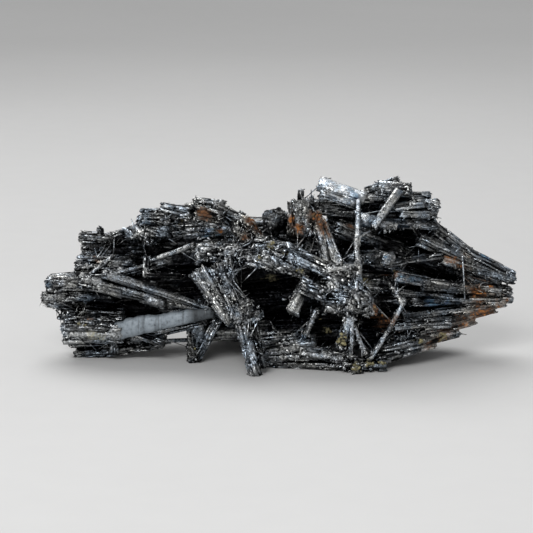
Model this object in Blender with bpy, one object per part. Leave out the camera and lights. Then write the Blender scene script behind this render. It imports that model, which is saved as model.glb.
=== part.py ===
"""Stibnite crystal spray: blades, laths and needles grown through each other, in one solid.

Run it with  blender --background --python part.py  or from Blender's text editor.
Dimensions below are in millimetres, and MM turns them into Blender's metres.

The spray lies along X on its lowest crystals, which are flat at Z = 0. +Z is up and -Y is the
front. The origin is under the middle of the bounding box, which is about 150 mm long.
"""
import math
import random
from collections import namedtuple

import bmesh
import bpy
from mathutils import Matrix, Vector

MM = 0.001
FRONT = Vector((0.0, -1.0, 0.0))
UP = Vector((0.0, 0.0, 1.0))

SEED = 27                 # with a crystal's or a sheaf's name, this fixes its random draws
RIGHT_TIP = (69, 4, 21)   # where the long blades of the right half run together
ROLL = math.radians(14)   # how far a crystal may turn about its own length
END_SLANT = 0.35          # the most that a broken end leans, as rise over run
SHEAF_HOLD = 0.8          # how far a crystal of a sheaf keeps its place in it up to the tip
SHEAF_STRAY = 0.2         # how far its tip may stray from that place
SHEAF_TAPER = (0.7, 1.0)  # its width at the tip as a share of its width at the root
END_ON = 0.3              # below this sine of the angle to FRONT, a width is set against UP
FOOT_BELOW = 6            # depth of the slab below Z = 0 that trims the feet flat
FOOT_SIDE = 300           # length and breadth of that slab

# A crystal's outline across its length: a blade with a ridge down each narrow side.
# Each corner is (across, through) as a share of the crystal's width and thickness.
SECTION = [(0.5, 0.0), (0.32, 0.5), (-0.32, 0.5), (-0.5, 0.0), (-0.32, -0.5), (0.32, -0.5)]

# name, root point, tip point, width at the root, width at the tip, thickness.
# A crystal's width lies in the plane that faces the front, its thickness runs front to back.
Crystal = namedtuple("Crystal", "name root tip root_width tip_width thickness")

# The lower left: the big cleaved blade, its rough butt and the laths below them.
LEFT_BASE = [
    Crystal("left_blade_butt", (-67, -4.5, 9.5), (-48.5, -6, 10), 8, 7.5, 9),
    Crystal("bright_blade", (-50.5, -8, 10.5), (-20, -14.5, 17.5), 7, 3.5, 3.5),
    Crystal("blade_keel", (-47.5, -6, 6.5), (-23.5, -9.5, 13), 2, 2, 3),
    Crystal("under_blade_a", (-64, 2, 1), (-36, -3, 5.5), 3.5, 2.5, 8),
    Crystal("under_blade_b", (-65, 4, 4.5), (-46.5, 0, 5.5), 4.5, 3, 8),
    Crystal("under_stub", (-52, -6, 9.5), (-51.5, -7, 2.5), 3, 2, 3),
    Crystal("under_lath", (-45.5, -8, 9), (-36, -9, 6.5), 2, 2.5, 3),
    Crystal("under_needle", (-40.5, -4, 5.5), (-13.5, 2, 5), 1.5, 1.5, 1.5),
]

# The far left: parallel laths that end in one rough, stepped break.
LEFT_ENDS = [
    Crystal("left_end_a", (-74, -1, 19), (-51.5, -3, 19.5), 3.5, 3, 8),
    Crystal("left_end_b", (-72.5, 1, 21.5), (-50.5, -2, 22.5), 3.5, 3, 9),
    Crystal("left_end_c", (-72.5, 0, 24), (-52, -4, 24.5), 3, 3, 8),
    Crystal("left_end_d", (-72.5, 7, 23.5), (-50.5, 6, 25.5), 2, 2.5, 7),
    Crystal("left_end_e", (-72.5, 4, 16), (-53.5, 2, 15), 2.5, 3, 9),
    Crystal("left_end_f", (-68, 1, 14), (-48.5, -1, 14), 4, 3, 9),
    Crystal("left_end_g", (-67.5, 1, 10.5), (-50.5, -2, 12), 4, 3, 8),
]

# The upper left: laths that end in a second break, further in, and step up to the roof.
LEFT_ROOF = [
    Crystal("roof_end_a", (-63, 10, 36.5), (-40.5, 8, 35.5), 3, 3, 5),
    Crystal("roof_end_b", (-62.5, 13, 32.5), (-37.5, 11, 33), 3.5, 3, 5),
    Crystal("roof_end_c", (-62.5, 11, 30.5), (-39, 8, 30), 3, 3, 5),
    Crystal("roof_end_d", (-63.5, 3, 29), (-45, 0, 30), 4, 3, 9),
    Crystal("roof_end_e", (-63, 1, 27), (-48, -2, 28.5), 3, 3, 9),
    Crystal("roof_knob", (-56.5, 9, 35.5), (-56.5, 9, 39.5), 2, 2, 2),
    Crystal("roof_slope_a", (-52.5, 6, 37), (-35, 6, 42.5), 2.5, 3, 5),
    Crystal("roof_slope_b", (-44, 3, 43), (-34, 3, 42.5), 3, 4, 5),
    Crystal("roof_slope_c", (-43, 6, 44.5), (-31, 5, 44), 3, 4.5, 5),
    Crystal("roof_slope_d", (-37, 4, 47), (-27, 4, 45), 3, 4, 5),
    Crystal("roof_top_a", (-29.5, 6, 46), (-21, 4, 46.5), 3, 4, 5),
    Crystal("roof_top_b", (-26.5, 3, 48.5), (-17, 2, 47.5), 3, 3.5, 5),
    Crystal("roof_rust", (-25.5, -3, 46.5), (-17.5, -4, 45), 4.5, 4, 5),
    Crystal("roof_lath_a", (-21, -1, 49), (-7.5, -4, 42), 3, 3, 3.5),
    Crystal("roof_lath_b", (-21, 0, 46.5), (-9.5, -3, 40), 2.5, 2, 3.5),
    Crystal("roof_mass_a", (-47.5, 2, 39), (-34, 0, 40), 3, 4.5, 5),
    Crystal("roof_mass_b", (-44.5, 1, 40.5), (-39.5, -2, 36.5), 3, 2, 4),
]

# The left front: the broad dull blade that slants down across the opening, and its laths.
LEFT_FRONT = [
    Crystal("pale_lath", (-61, -6, 24.5), (-33, -6, 32), 3, 2, 4),
    Crystal("cross_lath", (-52, -3, 32.5), (-59.5, -7.5, 27), 1.5, 1.5, 2.5),
    Crystal("broad_blade", (-62, -7.5, 26), (-18, -14, 17), 5.5, 2, 4),
    Crystal("broad_blade_low", (-60, -9, 25), (-48.5, -11, 22.5), 2.5, 3.5, 3),
    Crystal("broad_blade_top", (-54.5, -8, 28.5), (-19, -15, 18), 3, 1.5, 4),
    Crystal("broad_blade_stub", (-43, -10, 21.5), (-35, -13, 19.5), 4, 3.5, 4),
    Crystal("thin_lath", (-27.5, -9, 37), (-40.5, -8, 32), 2, 1.5, 2),
    Crystal("upright_stub", (-41, -7.5, 33.5), (-41, -9, 27), 2, 2.5, 3),
    Crystal("upright_foot", (-41, -10, 28), (-30, -7, 27), 1.5, 1.5, 2),
]

# The middle: the thick slanting pillar, the leg below it and the arch beside them.
PILLAR = [
    Crystal("pillar_a", (-24.5, -14, 30.5), (-14, -19, 15.5), 6.5, 4.5, 8),
    Crystal("pillar_b", (-18.5, -14, 32), (-11, -20, 16), 6.5, 4.5, 8),
    Crystal("pillar_c", (-16.5, -13, 34), (-14.5, -17, 23), 4, 3.5, 6),
    Crystal("leg_a", (-11.5, -19, 16.5), (-7, -24, -1.5), 4, 4, 5),
    Crystal("leg_b", (-8.5, -17, 16), (-5, -22, 1.5), 3, 2.5, 4),
    Crystal("left_foot", (-24.5, -5, 14), (-27, -8, -1), 9, 3.5, 7),
    Crystal("foot_lath", (-19, -8, 14), (-25.5, -8.5, 1), 3, 2.5, 4),
    Crystal("dark_beam", (-28.5, 1, 7.5), (-3.5, 3, 7), 5, 5, 9),
    Crystal("stub_end_on", (-9.5, -28, 22), (-12, -14, 20.5), 4, 4, 3.5),
    Crystal("hook_lath", (-12.5, -20, 16), (-5.5, -23, 18.5), 3.5, 2.5, 4),
    Crystal("shelf_block", (-25.5, -11, 35), (-12, -11, 34.5), 6.5, 6.5, 7),
    Crystal("round_knob", (-11.5, 0, 46), (-12.5, -1, 40), 3, 3, 3),
    Crystal("saddle_lath_a", (-13.5, -4, 42.5), (-6, -8, 33.5), 3.5, 3, 4),
    Crystal("saddle_lath_b", (-10, -3, 44.5), (-4.5, -5, 37.5), 2, 2, 2.5),
    Crystal("dark_lump", (-1, 3, 44.5), (-1, 7, 35), 8, 8, 8),
]

# The centre: the shelf over the dark hollow, the druse that hangs from it and loose laths.
CENTRE = [
    Crystal("shelf_band_a", (-15.5, -10, 33.5), (-2, -13, 33), 4.5, 4, 5),
    Crystal("shelf_band_b", (-5, -12, 34), (10, -15, 30), 5.5, 4.5, 5),
    Crystal("shelf_band_c", (-7.5, -8, 37), (6.5, -10, 35.5), 5, 4.5, 5),
    Crystal("twin_lath_a", (2, -15, 38.5), (22.5, -19, 30), 2, 2.5, 4),
    Crystal("twin_lath_b", (3, -16, 35.5), (20, -20, 28.5), 3, 3, 4),
    Crystal("fan_lath_a", (11.5, -8, 47.5), (15, -17, 31.5), 3, 3, 4),
    Crystal("fan_lath_b", (13.5, -9, 44.5), (18.5, -19, 32.5), 2.5, 3, 4),
    Crystal("flat_gleam", (14, -20, 32), (25, -17, 33), 2.5, 2.5, 4),
    Crystal("rust_block", (7.5, -5, 51), (9, -7, 40), 7, 7.5, 8),
    Crystal("rust_edge", (4, -3, 50), (4.5, -4, 39.5), 2, 3, 5),
    Crystal("rust_knob", (7, -5, 50.5), (7, -5, 54), 2, 2, 2),
    Crystal("back_lath", (0.5, -1, 38.5), (14.5, -4, 38), 1.5, 1.5, 2),
    Crystal("gleam_stub", (10, -13, 30.5), (4, -24.5, 19.5), 4, 4.5, 4),
    Crystal("strut_lath", (11.5, -20, 19.5), (7.5, -15, 8), 2, 2, 2),
    Crystal("druse_a", (15.5, -17, 28), (26.5, -21, 21), 7, 6.5, 8),
    Crystal("druse_b", (22, -15, 31), (21, -21, 18.5), 7, 6.5, 8),
    Crystal("druse_c", (14.5, -18, 21), (28, -19, 21.5), 5.5, 5.5, 7),
    Crystal("druse_d", (12, -16, 25.5), (19, -18, 29.5), 4.5, 5.5, 6),
    Crystal("druse_e", (25.5, -18, 25), (28.5, -20, 18), 4, 4, 5),
    Crystal("druse_f", (6.5, -19.5, 27.5), (14, -20.5, 24.5), 5, 4.5, 5),
]

# The bottom: striated laths along the surface, and the yellow-crusted foot on their right.
BASE = [
    Crystal("low_block_a", (-5, -13, 5.5), (11.5, -15, 8), 4.5, 4, 6),
    Crystal("low_block_b", (-5, -12, 2.5), (16.5, -15, 4.5), 3, 4, 7),
    Crystal("low_block_c", (-4, -12, 0.5), (21, -17, 2), 2, 3, 7),
    Crystal("low_block_d", (6.5, -15, 5.5), (22, -18, 3.5), 4, 4, 6),
    Crystal("low_gleam_a", (-6, -9, 9), (8.5, -9, 10.5), 1.5, 1.5, 3),
    Crystal("low_gleam_b", (-6.5, -10, 7.5), (6.5, -12, 9), 2, 2, 3),
    Crystal("hang_a", (22, -21, 18.5), (19, -22, 8.5), 4, 3.5, 4),
    Crystal("hang_b", (22.5, -21.5, 21), (22, -24, 5.5), 1.5, 1.5, 2),
    Crystal("hang_c", (22, -21, 17), (26.5, -23, 6), 1.5, 1.5, 1.5),
    Crystal("nodule_foot", (19.5, -19, 2.5), (33, -19, 2), 3, 3, 6),
    Crystal("nodule_tip", (23, -19, 4), (24, -22, -1.5), 4, 3.5, 4),
]

# The right front: thin crystals that bridge the hollow in front of the long blades.
BRIDGES = [
    Crystal("post_a", (24.5, -11, 52), (24, -18, 39), 1.5, 2, 2),
    Crystal("post_b", (23.5, -18, 41.5), (25, -20, 22), 2, 2.5, 2.5),
    Crystal("brace", (37.5, -7, 54.5), (29, -14, 44), 3, 2.5, 2.5),
    Crystal("brace_knot", (24, -12, 46.5), (35.5, -9, 43.5), 4, 4, 4),
    Crystal("inner_lath", (20, 5, 30.5), (34.5, -14, 34.5), 4, 4, 4),
    Crystal("stay_a", (33.5, -8, 27), (38.5, -16, 20), 1.5, 1.5, 1.5),
    Crystal("stay_b", (39, -15, 21.5), (34, -17, 12.5), 1.5, 1.5, 1.5),
    Crystal("stay_c", (34.5, -17, 13.5), (27.5, -20, 2.5), 1.5, 2, 2),
]

# The top right: the bright striated blade, the slabs beside it and the laths behind them.
TOP = [
    Crystal("top_blade_a", (12.5, -2, 55.5), (27, -4, 51), 4.5, 4, 6),
    Crystal("top_blade_b", (13, -6, 53.5), (24, -8, 50), 2.5, 2.5, 4),
    Crystal("top_blade_c", (20.5, -2, 51), (35.5, -3, 50.5), 3, 3, 5),
    Crystal("top_slab_a", (27.5, 2, 52), (37.5, 0, 55), 3, 4.5, 5),
    Crystal("top_slab_b", (31, -2, 54), (41, -3, 53.5), 4.5, 4.5, 5),
    Crystal("top_lath_a", (37.5, 3, 50.5), (47.5, 3, 50.5), 3, 2.5, 5),
    Crystal("top_lath_b", (39, -1, 48.5), (50, -1, 48.5), 3, 3.5, 6),
    Crystal("top_lath_c", (37, -4, 46.5), (49, -3, 46), 3, 3, 6),
    Crystal("top_lath_d", (31, -6, 48.5), (45, -5, 50), 2.5, 3, 4),
    Crystal("top_lath_e", (30.5, -8, 44.5), (49, -3, 43), 3, 3, 5),
    Crystal("top_under", (10, 0, 48), (32, 2, 46.5), 4, 4.5, 8),
]

# The right: long blades that close to one point, above and below the hollow.
RIGHT_BLADES = [
    Crystal("ridge_a", (45.5, 2, 43.5), (63, 4, 29.5), 4, 3.5, 5),
    Crystal("ridge_b", (53.5, 2, 35), (74.5, 4, 24.5), 4.5, 3.5, 5),
    Crystal("tip_a", (50.5, -3, 32), (74.5, 4, 23.5), 4, 2.5, 5),
    Crystal("tip_b", (44, -6, 24), (73.5, 4, 20.5), 3, 2, 5),
    Crystal("tip_c", (41, -7, 19.5), (74, 4, 17.5), 3, 2, 5),
    Crystal("tip_d", (38, -8, 14.5), (71.5, 3, 16.5), 2.5, 2.5, 5),
    Crystal("keel_a", (38, -9, 10.5), (68, 1, 15), 3, 2.5, 6),
    Crystal("keel_b", (35.5, -11, 7.5), (61.5, -2, 12), 3.5, 3, 6),
    Crystal("keel_c", (31, -15, 5), (56, -5, 9), 4, 3.5, 6),
    Crystal("keel_d", (29, -17, 3), (48.5, -8, 6), 4, 3, 6),
    Crystal("inner_a", (32.5, -8, 31), (51, -4, 33), 2, 2, 4),
    Crystal("inner_b", (36, -10, 28), (53, -6, 24), 3, 2.5, 4),
    Crystal("inner_c", (37, -9, 22.5), (54.5, -4, 20), 2, 2, 3),
    Crystal("inner_d", (35, -13, 12.5), (53.5, -7, 12.5), 3, 3, 4),
    Crystal("inner_e", (43.5, -3, 38.5), (60, 0, 30), 4, 4, 5),
]

# The back: blades that cross behind the spray, and the two that it leans on there.
BACK = [
    Crystal("back_blade_low", (-60, 16, 9), (-14, 22, 15), 8, 5, 6),
    Crystal("back_blade_slant", (-52, 18, 30), (-8, 26, 19), 6.5, 7.5, 4.5),
    Crystal("back_blade_rise", (-16, 24, 14), (22, 24, 41), 7, 5, 5),
    Crystal("back_blade_fall", (-2, 21, 38), (43, 22, 20), 6, 6.5, 5),
    Crystal("back_shelf", (-34, 16, 37), (4, 19, 39), 4.5, 5, 8),
    Crystal("back_shelf_lath", (-46, 13, 37), (-12, 20, 40), 3, 3, 3),
    Crystal("back_keel", (0, 22, 7), (56, 10, 11), 7, 4, 7),
    Crystal("back_keel_lath", (10, 26, 4), (44, 17, 7), 4, 3, 5),
    Crystal("back_ridge", (14, 17, 46), (60, 8, 30), 5, 4.5, 7),
    Crystal("back_ridge_lath", (24, 14, 48), (52, 11, 38), 3.5, 3, 5),
    Crystal("back_foot_left", (-34, 18, 18), (-10, 24, -1.5), 7, 6, 6),
    Crystal("back_foot_block", (-25, 15, 6), (-6, 17, 4), 6, 5, 8),
    Crystal("back_foot_right", (8, 20, 17), (35, 22, -1.5), 7, 6, 6),
    Crystal("back_stub_a", (4, 20, 28), (1, 28, 25), 4, 4.5, 4),
    Crystal("back_stub_b", (24, 8, 31), (31, 27, 36), 3.5, 4, 3.5),
    Crystal("back_stub_c", (-32, 17, 22), (-36, 27, 19), 4, 3.5, 4),
    Crystal("back_lath_a", (-58, 17, 22), (-26, 23, 26), 3.5, 3, 4),
    Crystal("back_lath_b", (-30, 22, 33), (2, 26, 28), 3, 3.5, 3),
    Crystal("back_lath_c", (-22, 22, 9), (14, 25, 12), 3.5, 3, 4),
    Crystal("back_lath_d", (14, 24, 30), (58, 11, 25), 3.5, 3, 4),
    Crystal("back_lath_e", (26, 23, 15), (62, 9, 18), 3.5, 3, 4),
    Crystal("back_lath_f", (6, 22, 22), (27, 25, 9), 3, 2.5, 4),
    Crystal("back_lath_g", (-44, 21, 12), (-38, 18, 34), 3, 2.5, 3),
    Crystal("back_lath_h", (-12, 20, 40), (-22, 22, 28), 3, 3, 3),
]

# Inside, where a single crystal closes a gap that light would show through.
INNER = [
    Crystal("inner_left", (-52, 5, 29), (-16, 6, 31), 6, 6, 6),
    Crystal("inner_ridge", (34, 6, 44), (63, 5, 30), 7, 4, 6),
    Crystal("inner_post", (14, 6, 30), (40, 4, 38), 7, 7, 6),
    Crystal("inner_low", (8, 2, 5), (40, 2, 5), 7, 7, 8),
    Crystal("inner_spine", (-32, 14, 27), (26, 15, 24), 6, 6, 6),
]

HAND_PLACED = (
    LEFT_BASE + LEFT_ENDS + LEFT_ROOF + LEFT_FRONT + PILLAR + CENTRE
    + BASE + BRIDGES + TOP + RIGHT_BLADES + BACK + INNER
)

# Sheaves of like crystals that fill the inside. Each crystal runs from a point near the root
# to the same place near the tip, so the sheaf stays parallel, or closes where it narrows.
Sheaf = namedtuple("Sheaf", "name count root root_spread tip tip_spread width thickness")

SHEAVES = [
    Sheaf("left_core", 9, (-61, 10, 17), (4, 7, 7), (-22, 10, 20), (5, 10, 10), (6, 8), (4, 6)),
    Sheaf("roof_core", 7, (-53, 12, 32), (6, 7, 3), (-14, 9, 36), (6, 9, 4), (5, 7), (4, 6)),
    Sheaf("middle", 8, (-24, 6, 22), (6, 9, 11), (18, 6, 26), (6, 11, 12), (7, 9), (5, 7)),
    Sheaf("right_fan", 15, (18, 8, 27), (6, 14, 17), RIGHT_TIP, (3, 3, 4), (5, 7), (4, 6)),
    Sheaf("lower_fan", 7, (-6, 2, 7), (6, 11, 3), (47, 2, 10), (6, 9, 3), (6, 8), (5, 7)),
    Sheaf("top_slabs", 5, (16, 8, 45), (4, 6, 3), (42, 6, 45), (5, 6, 3), (5, 7), (4, 6)),
    Sheaf("uprights", 5, (6, 8, 12), (28, 8, 3), (4, 6, 39), (26, 8, 3), (5, 7), (4, 6)),
]


def clear_scene():
    """Remove the objects that Blender starts with."""
    for thing in list(bpy.data.objects):
        bpy.data.objects.remove(thing, do_unlink=True)


def scattered(centre, spread, draw):
    """The point that lies at draw, from -1 to 1 each way, in the spread round a centre."""
    return tuple(c + s * d for c, s, d in zip(centre, spread, draw))


def draws_for(name):
    """The random draws of one crystal or sheaf, the same whatever else is grown."""
    return random.Random(f"{SEED} {name}")


def grow_sheaf(sheaf):
    """The crystals of one sheaf."""
    rng = draws_for(sheaf.name)
    crystals = []
    for number in range(sheaf.count):
        draw = [rng.uniform(-1, 1) for _ in range(3)]
        drift = [SHEAF_HOLD * d + rng.uniform(-SHEAF_STRAY, SHEAF_STRAY) for d in draw]
        root_width = rng.uniform(*sheaf.width)
        crystals.append(Crystal(
            f"{sheaf.name}_{number}",
            scattered(sheaf.root, sheaf.root_spread, draw),
            scattered(sheaf.tip, sheaf.tip_spread, drift),
            root_width,
            root_width * rng.uniform(*SHEAF_TAPER),
            rng.uniform(*sheaf.thickness),
        ))
    return crystals


def crystal_axes(crystal, roll):
    """Unit vectors along a crystal, across its width and through its thickness."""
    along = (Vector(crystal.tip) - Vector(crystal.root)).normalized()
    across = along.cross(FRONT)
    if across.length < END_ON:
        across = along.cross(UP)
    across = Matrix.Rotation(roll, 3, along) @ across.normalized()
    return along, across, across.cross(along)


def crystal_edges(crystal, roll):
    """Root and tip points of the six long edges, which narrow together towards the tip."""
    _, across, through = crystal_axes(crystal, roll)
    mean_width = (crystal.root_width + crystal.tip_width) / 2
    edges = []
    for share_across, share_through in SECTION:
        edge = []
        for point, width in [(crystal.root, crystal.root_width), (crystal.tip, crystal.tip_width)]:
            thickness = crystal.thickness * width / mean_width
            edge.append(Vector(point) + share_across * width * across
                        + share_through * thickness * through)
        edges.append(edge)
    return edges


def broken_end(centre, edges, axes, rng):
    """The corners where a leaning plane through the centre cuts the six long edges."""
    along, across, through = axes
    lean_across = rng.uniform(-END_SLANT, END_SLANT)
    lean_through = rng.uniform(-END_SLANT, END_SLANT)
    normal = along + lean_across * across + lean_through * through
    corners = []
    for root, tip in edges:
        share = normal.dot(Vector(centre) - root) / normal.dot(tip - root)
        corners.append(root + share * (tip - root))
    return corners


def add_crystal(crystal):
    """One crystal as an object: a six-sided blade with a slanted break at each end."""
    rng = draws_for(crystal.name)
    roll = rng.uniform(-ROLL, ROLL)
    axes = crystal_axes(crystal, roll)
    edges = crystal_edges(crystal, roll)
    bm = bmesh.new()
    rings = []
    for centre in (crystal.root, crystal.tip):
        corners = broken_end(centre, edges, axes, rng)
        rings.append([bm.verts.new(corner * MM) for corner in corners])
    bm.faces.new(rings[0])
    bm.faces.new(reversed(rings[1]))
    for here in range(len(SECTION)):
        there = (here + 1) % len(SECTION)
        bm.faces.new([rings[0][there], rings[0][here], rings[1][here], rings[1][there]])
    bmesh.ops.recalc_face_normals(bm, faces=bm.faces)
    mesh = bpy.data.meshes.new(crystal.name)
    bm.to_mesh(mesh)
    bm.free()
    return bpy.data.objects.new(crystal.name, mesh)


def foot_slab():
    """A block under the surface that the spray rests on, with its top at Z = 0."""
    bm = bmesh.new()
    bmesh.ops.create_cube(bm, size=1.0)
    size = Vector((FOOT_SIDE, FOOT_SIDE, FOOT_BELOW))
    bmesh.ops.scale(bm, vec=size * MM, verts=bm.verts)
    bmesh.ops.translate(bm, vec=(0, 0, -FOOT_BELOW * MM / 2), verts=bm.verts)
    mesh = bpy.data.meshes.new("foot_slab")
    bm.to_mesh(mesh)
    bm.free()
    return bpy.data.objects.new("foot_slab", mesh)


def boolean(target, operation, tool):
    """Add an EXACT Boolean to the target, with an object or a collection as its tool."""
    modifier = target.modifiers.new(operation.lower(), "BOOLEAN")
    modifier.operation = operation
    modifier.solver = "EXACT"
    if isinstance(tool, bpy.types.Collection):
        modifier.operand_type = "COLLECTION"
        modifier.collection = tool
    else:
        modifier.object = tool


def shells(bm):
    """The mesh's separate closed surfaces, as lists of faces."""
    found = []
    left = set(bm.faces)
    while left:
        queue = [left.pop()]
        shell = []
        while queue:
            face = queue.pop()
            shell.append(face)
            for edge in face.edges:
                for other in edge.link_faces:
                    if other in left:
                        left.remove(other)
                        queue.append(other)
        found.append(shell)
    return found


def signed_volume(faces):
    """The volume inside a closed surface, negative where its faces look inwards."""
    total = 0.0
    for face in faces:
        first = face.verts[0].co
        for second, third in zip(face.verts[1:], face.verts[2:]):
            total += first.dot(second.co.cross(third.co)) / 6
    return total


def keep_main_shell(bm):
    """Leave only the spray's outer surface, so hollows sealed inside it are solid."""
    every = shells(bm)
    main = max(every, key=signed_volume)
    spare = [face for shell in every if shell is not main for face in shell]
    bmesh.ops.delete(bm, geom=spare, context="FACES")


def fuse(crystals):
    """Join the crystals into one closed mesh that is flat where it meets Z = 0."""
    scene = bpy.context.scene
    pieces = bpy.data.collections.new("pieces")
    scene.collection.children.link(pieces)
    core = add_crystal(crystals[0])
    scene.collection.objects.link(core)
    for crystal in crystals[1:]:
        pieces.objects.link(add_crystal(crystal))
    slab = foot_slab()
    scene.collection.objects.link(slab)
    boolean(core, "UNION", pieces)
    boolean(core, "DIFFERENCE", slab)

    evaluated = core.evaluated_get(bpy.context.evaluated_depsgraph_get())
    bm = bmesh.new()
    bm.from_mesh(evaluated.to_mesh())
    evaluated.to_mesh_clear()
    keep_main_shell(bm)
    mesh = bpy.data.meshes.new("stibnite_spray")
    bm.to_mesh(mesh)
    bm.free()
    clear_scene()
    bpy.data.collections.remove(pieces)
    return mesh


def stibnite_material():
    """Lead-grey, metallic and half dull."""
    material = bpy.data.materials.new("stibnite")
    material.use_nodes = True
    shader = material.node_tree.nodes["Principled BSDF"]
    shader.inputs["Base Color"].default_value = (0.085, 0.095, 0.11, 1.0)
    shader.inputs["Metallic"].default_value = 0.85
    shader.inputs["Roughness"].default_value = 0.38
    return material


def main():
    """Grow the spray and put it in the scene."""
    clear_scene()
    crystals = list(HAND_PLACED)
    for sheaf in SHEAVES:
        crystals += grow_sheaf(sheaf)
    mesh = fuse(crystals)
    mesh.materials.append(stibnite_material())
    spray = bpy.data.objects.new("stibnite_spray", mesh)
    bpy.context.scene.collection.objects.link(spray)


main()
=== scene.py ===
import math
import random
from collections import namedtuple

import bpy
import numpy as np
from mathutils import Matrix, Vector


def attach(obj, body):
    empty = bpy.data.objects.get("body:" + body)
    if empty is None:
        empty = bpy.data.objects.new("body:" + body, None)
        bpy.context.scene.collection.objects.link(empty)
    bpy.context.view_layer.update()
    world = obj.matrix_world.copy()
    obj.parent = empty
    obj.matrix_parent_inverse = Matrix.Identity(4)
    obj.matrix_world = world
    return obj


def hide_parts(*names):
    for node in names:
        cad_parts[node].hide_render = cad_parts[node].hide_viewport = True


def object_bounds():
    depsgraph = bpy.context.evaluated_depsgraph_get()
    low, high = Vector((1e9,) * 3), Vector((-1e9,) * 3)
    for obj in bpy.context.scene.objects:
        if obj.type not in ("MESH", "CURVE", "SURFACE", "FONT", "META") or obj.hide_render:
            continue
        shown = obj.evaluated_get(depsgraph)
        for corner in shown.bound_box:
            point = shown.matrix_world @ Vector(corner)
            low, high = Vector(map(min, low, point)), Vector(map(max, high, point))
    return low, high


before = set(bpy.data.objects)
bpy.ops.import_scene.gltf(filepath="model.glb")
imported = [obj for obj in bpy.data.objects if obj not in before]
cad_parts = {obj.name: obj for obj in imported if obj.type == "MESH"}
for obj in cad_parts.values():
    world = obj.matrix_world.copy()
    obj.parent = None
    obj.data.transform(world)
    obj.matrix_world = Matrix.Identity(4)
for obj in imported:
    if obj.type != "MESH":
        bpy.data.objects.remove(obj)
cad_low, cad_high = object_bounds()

MM = 0.001                # metres in a millimetre
FRONT = Vector((0.0, -1.0, 0.0))
UP = Vector((0.0, 0.0, 1.0))

# The CAD solid's own numbers, so that every crystal is where it is there.
SEED = 27
RIGHT_TIP = (69, 4, 21)
ROLL = math.radians(14)
SHEAF_HOLD = 0.8
SHEAF_STRAY = 0.2
SHEAF_TAPER = (0.7, 1.0)
END_ON = 0.3

# A crystal's outline across its length: a blade with a ridge down each narrow side.
# Each corner is (across, through) as a share of the crystal's width and thickness.
FLAT = 0.32               # how far the flat faces reach to each side of the middle
SECTION = [(0.5, 0.0), (FLAT, 0.5), (-FLAT, 0.5), (-0.5, 0.0), (-FLAT, -0.5), (FLAT, -0.5)]

# A crystal's width lies in the plane that faces the front, its thickness runs front to back.
Crystal = namedtuple("Crystal", "name root tip root_width tip_width thickness")

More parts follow.
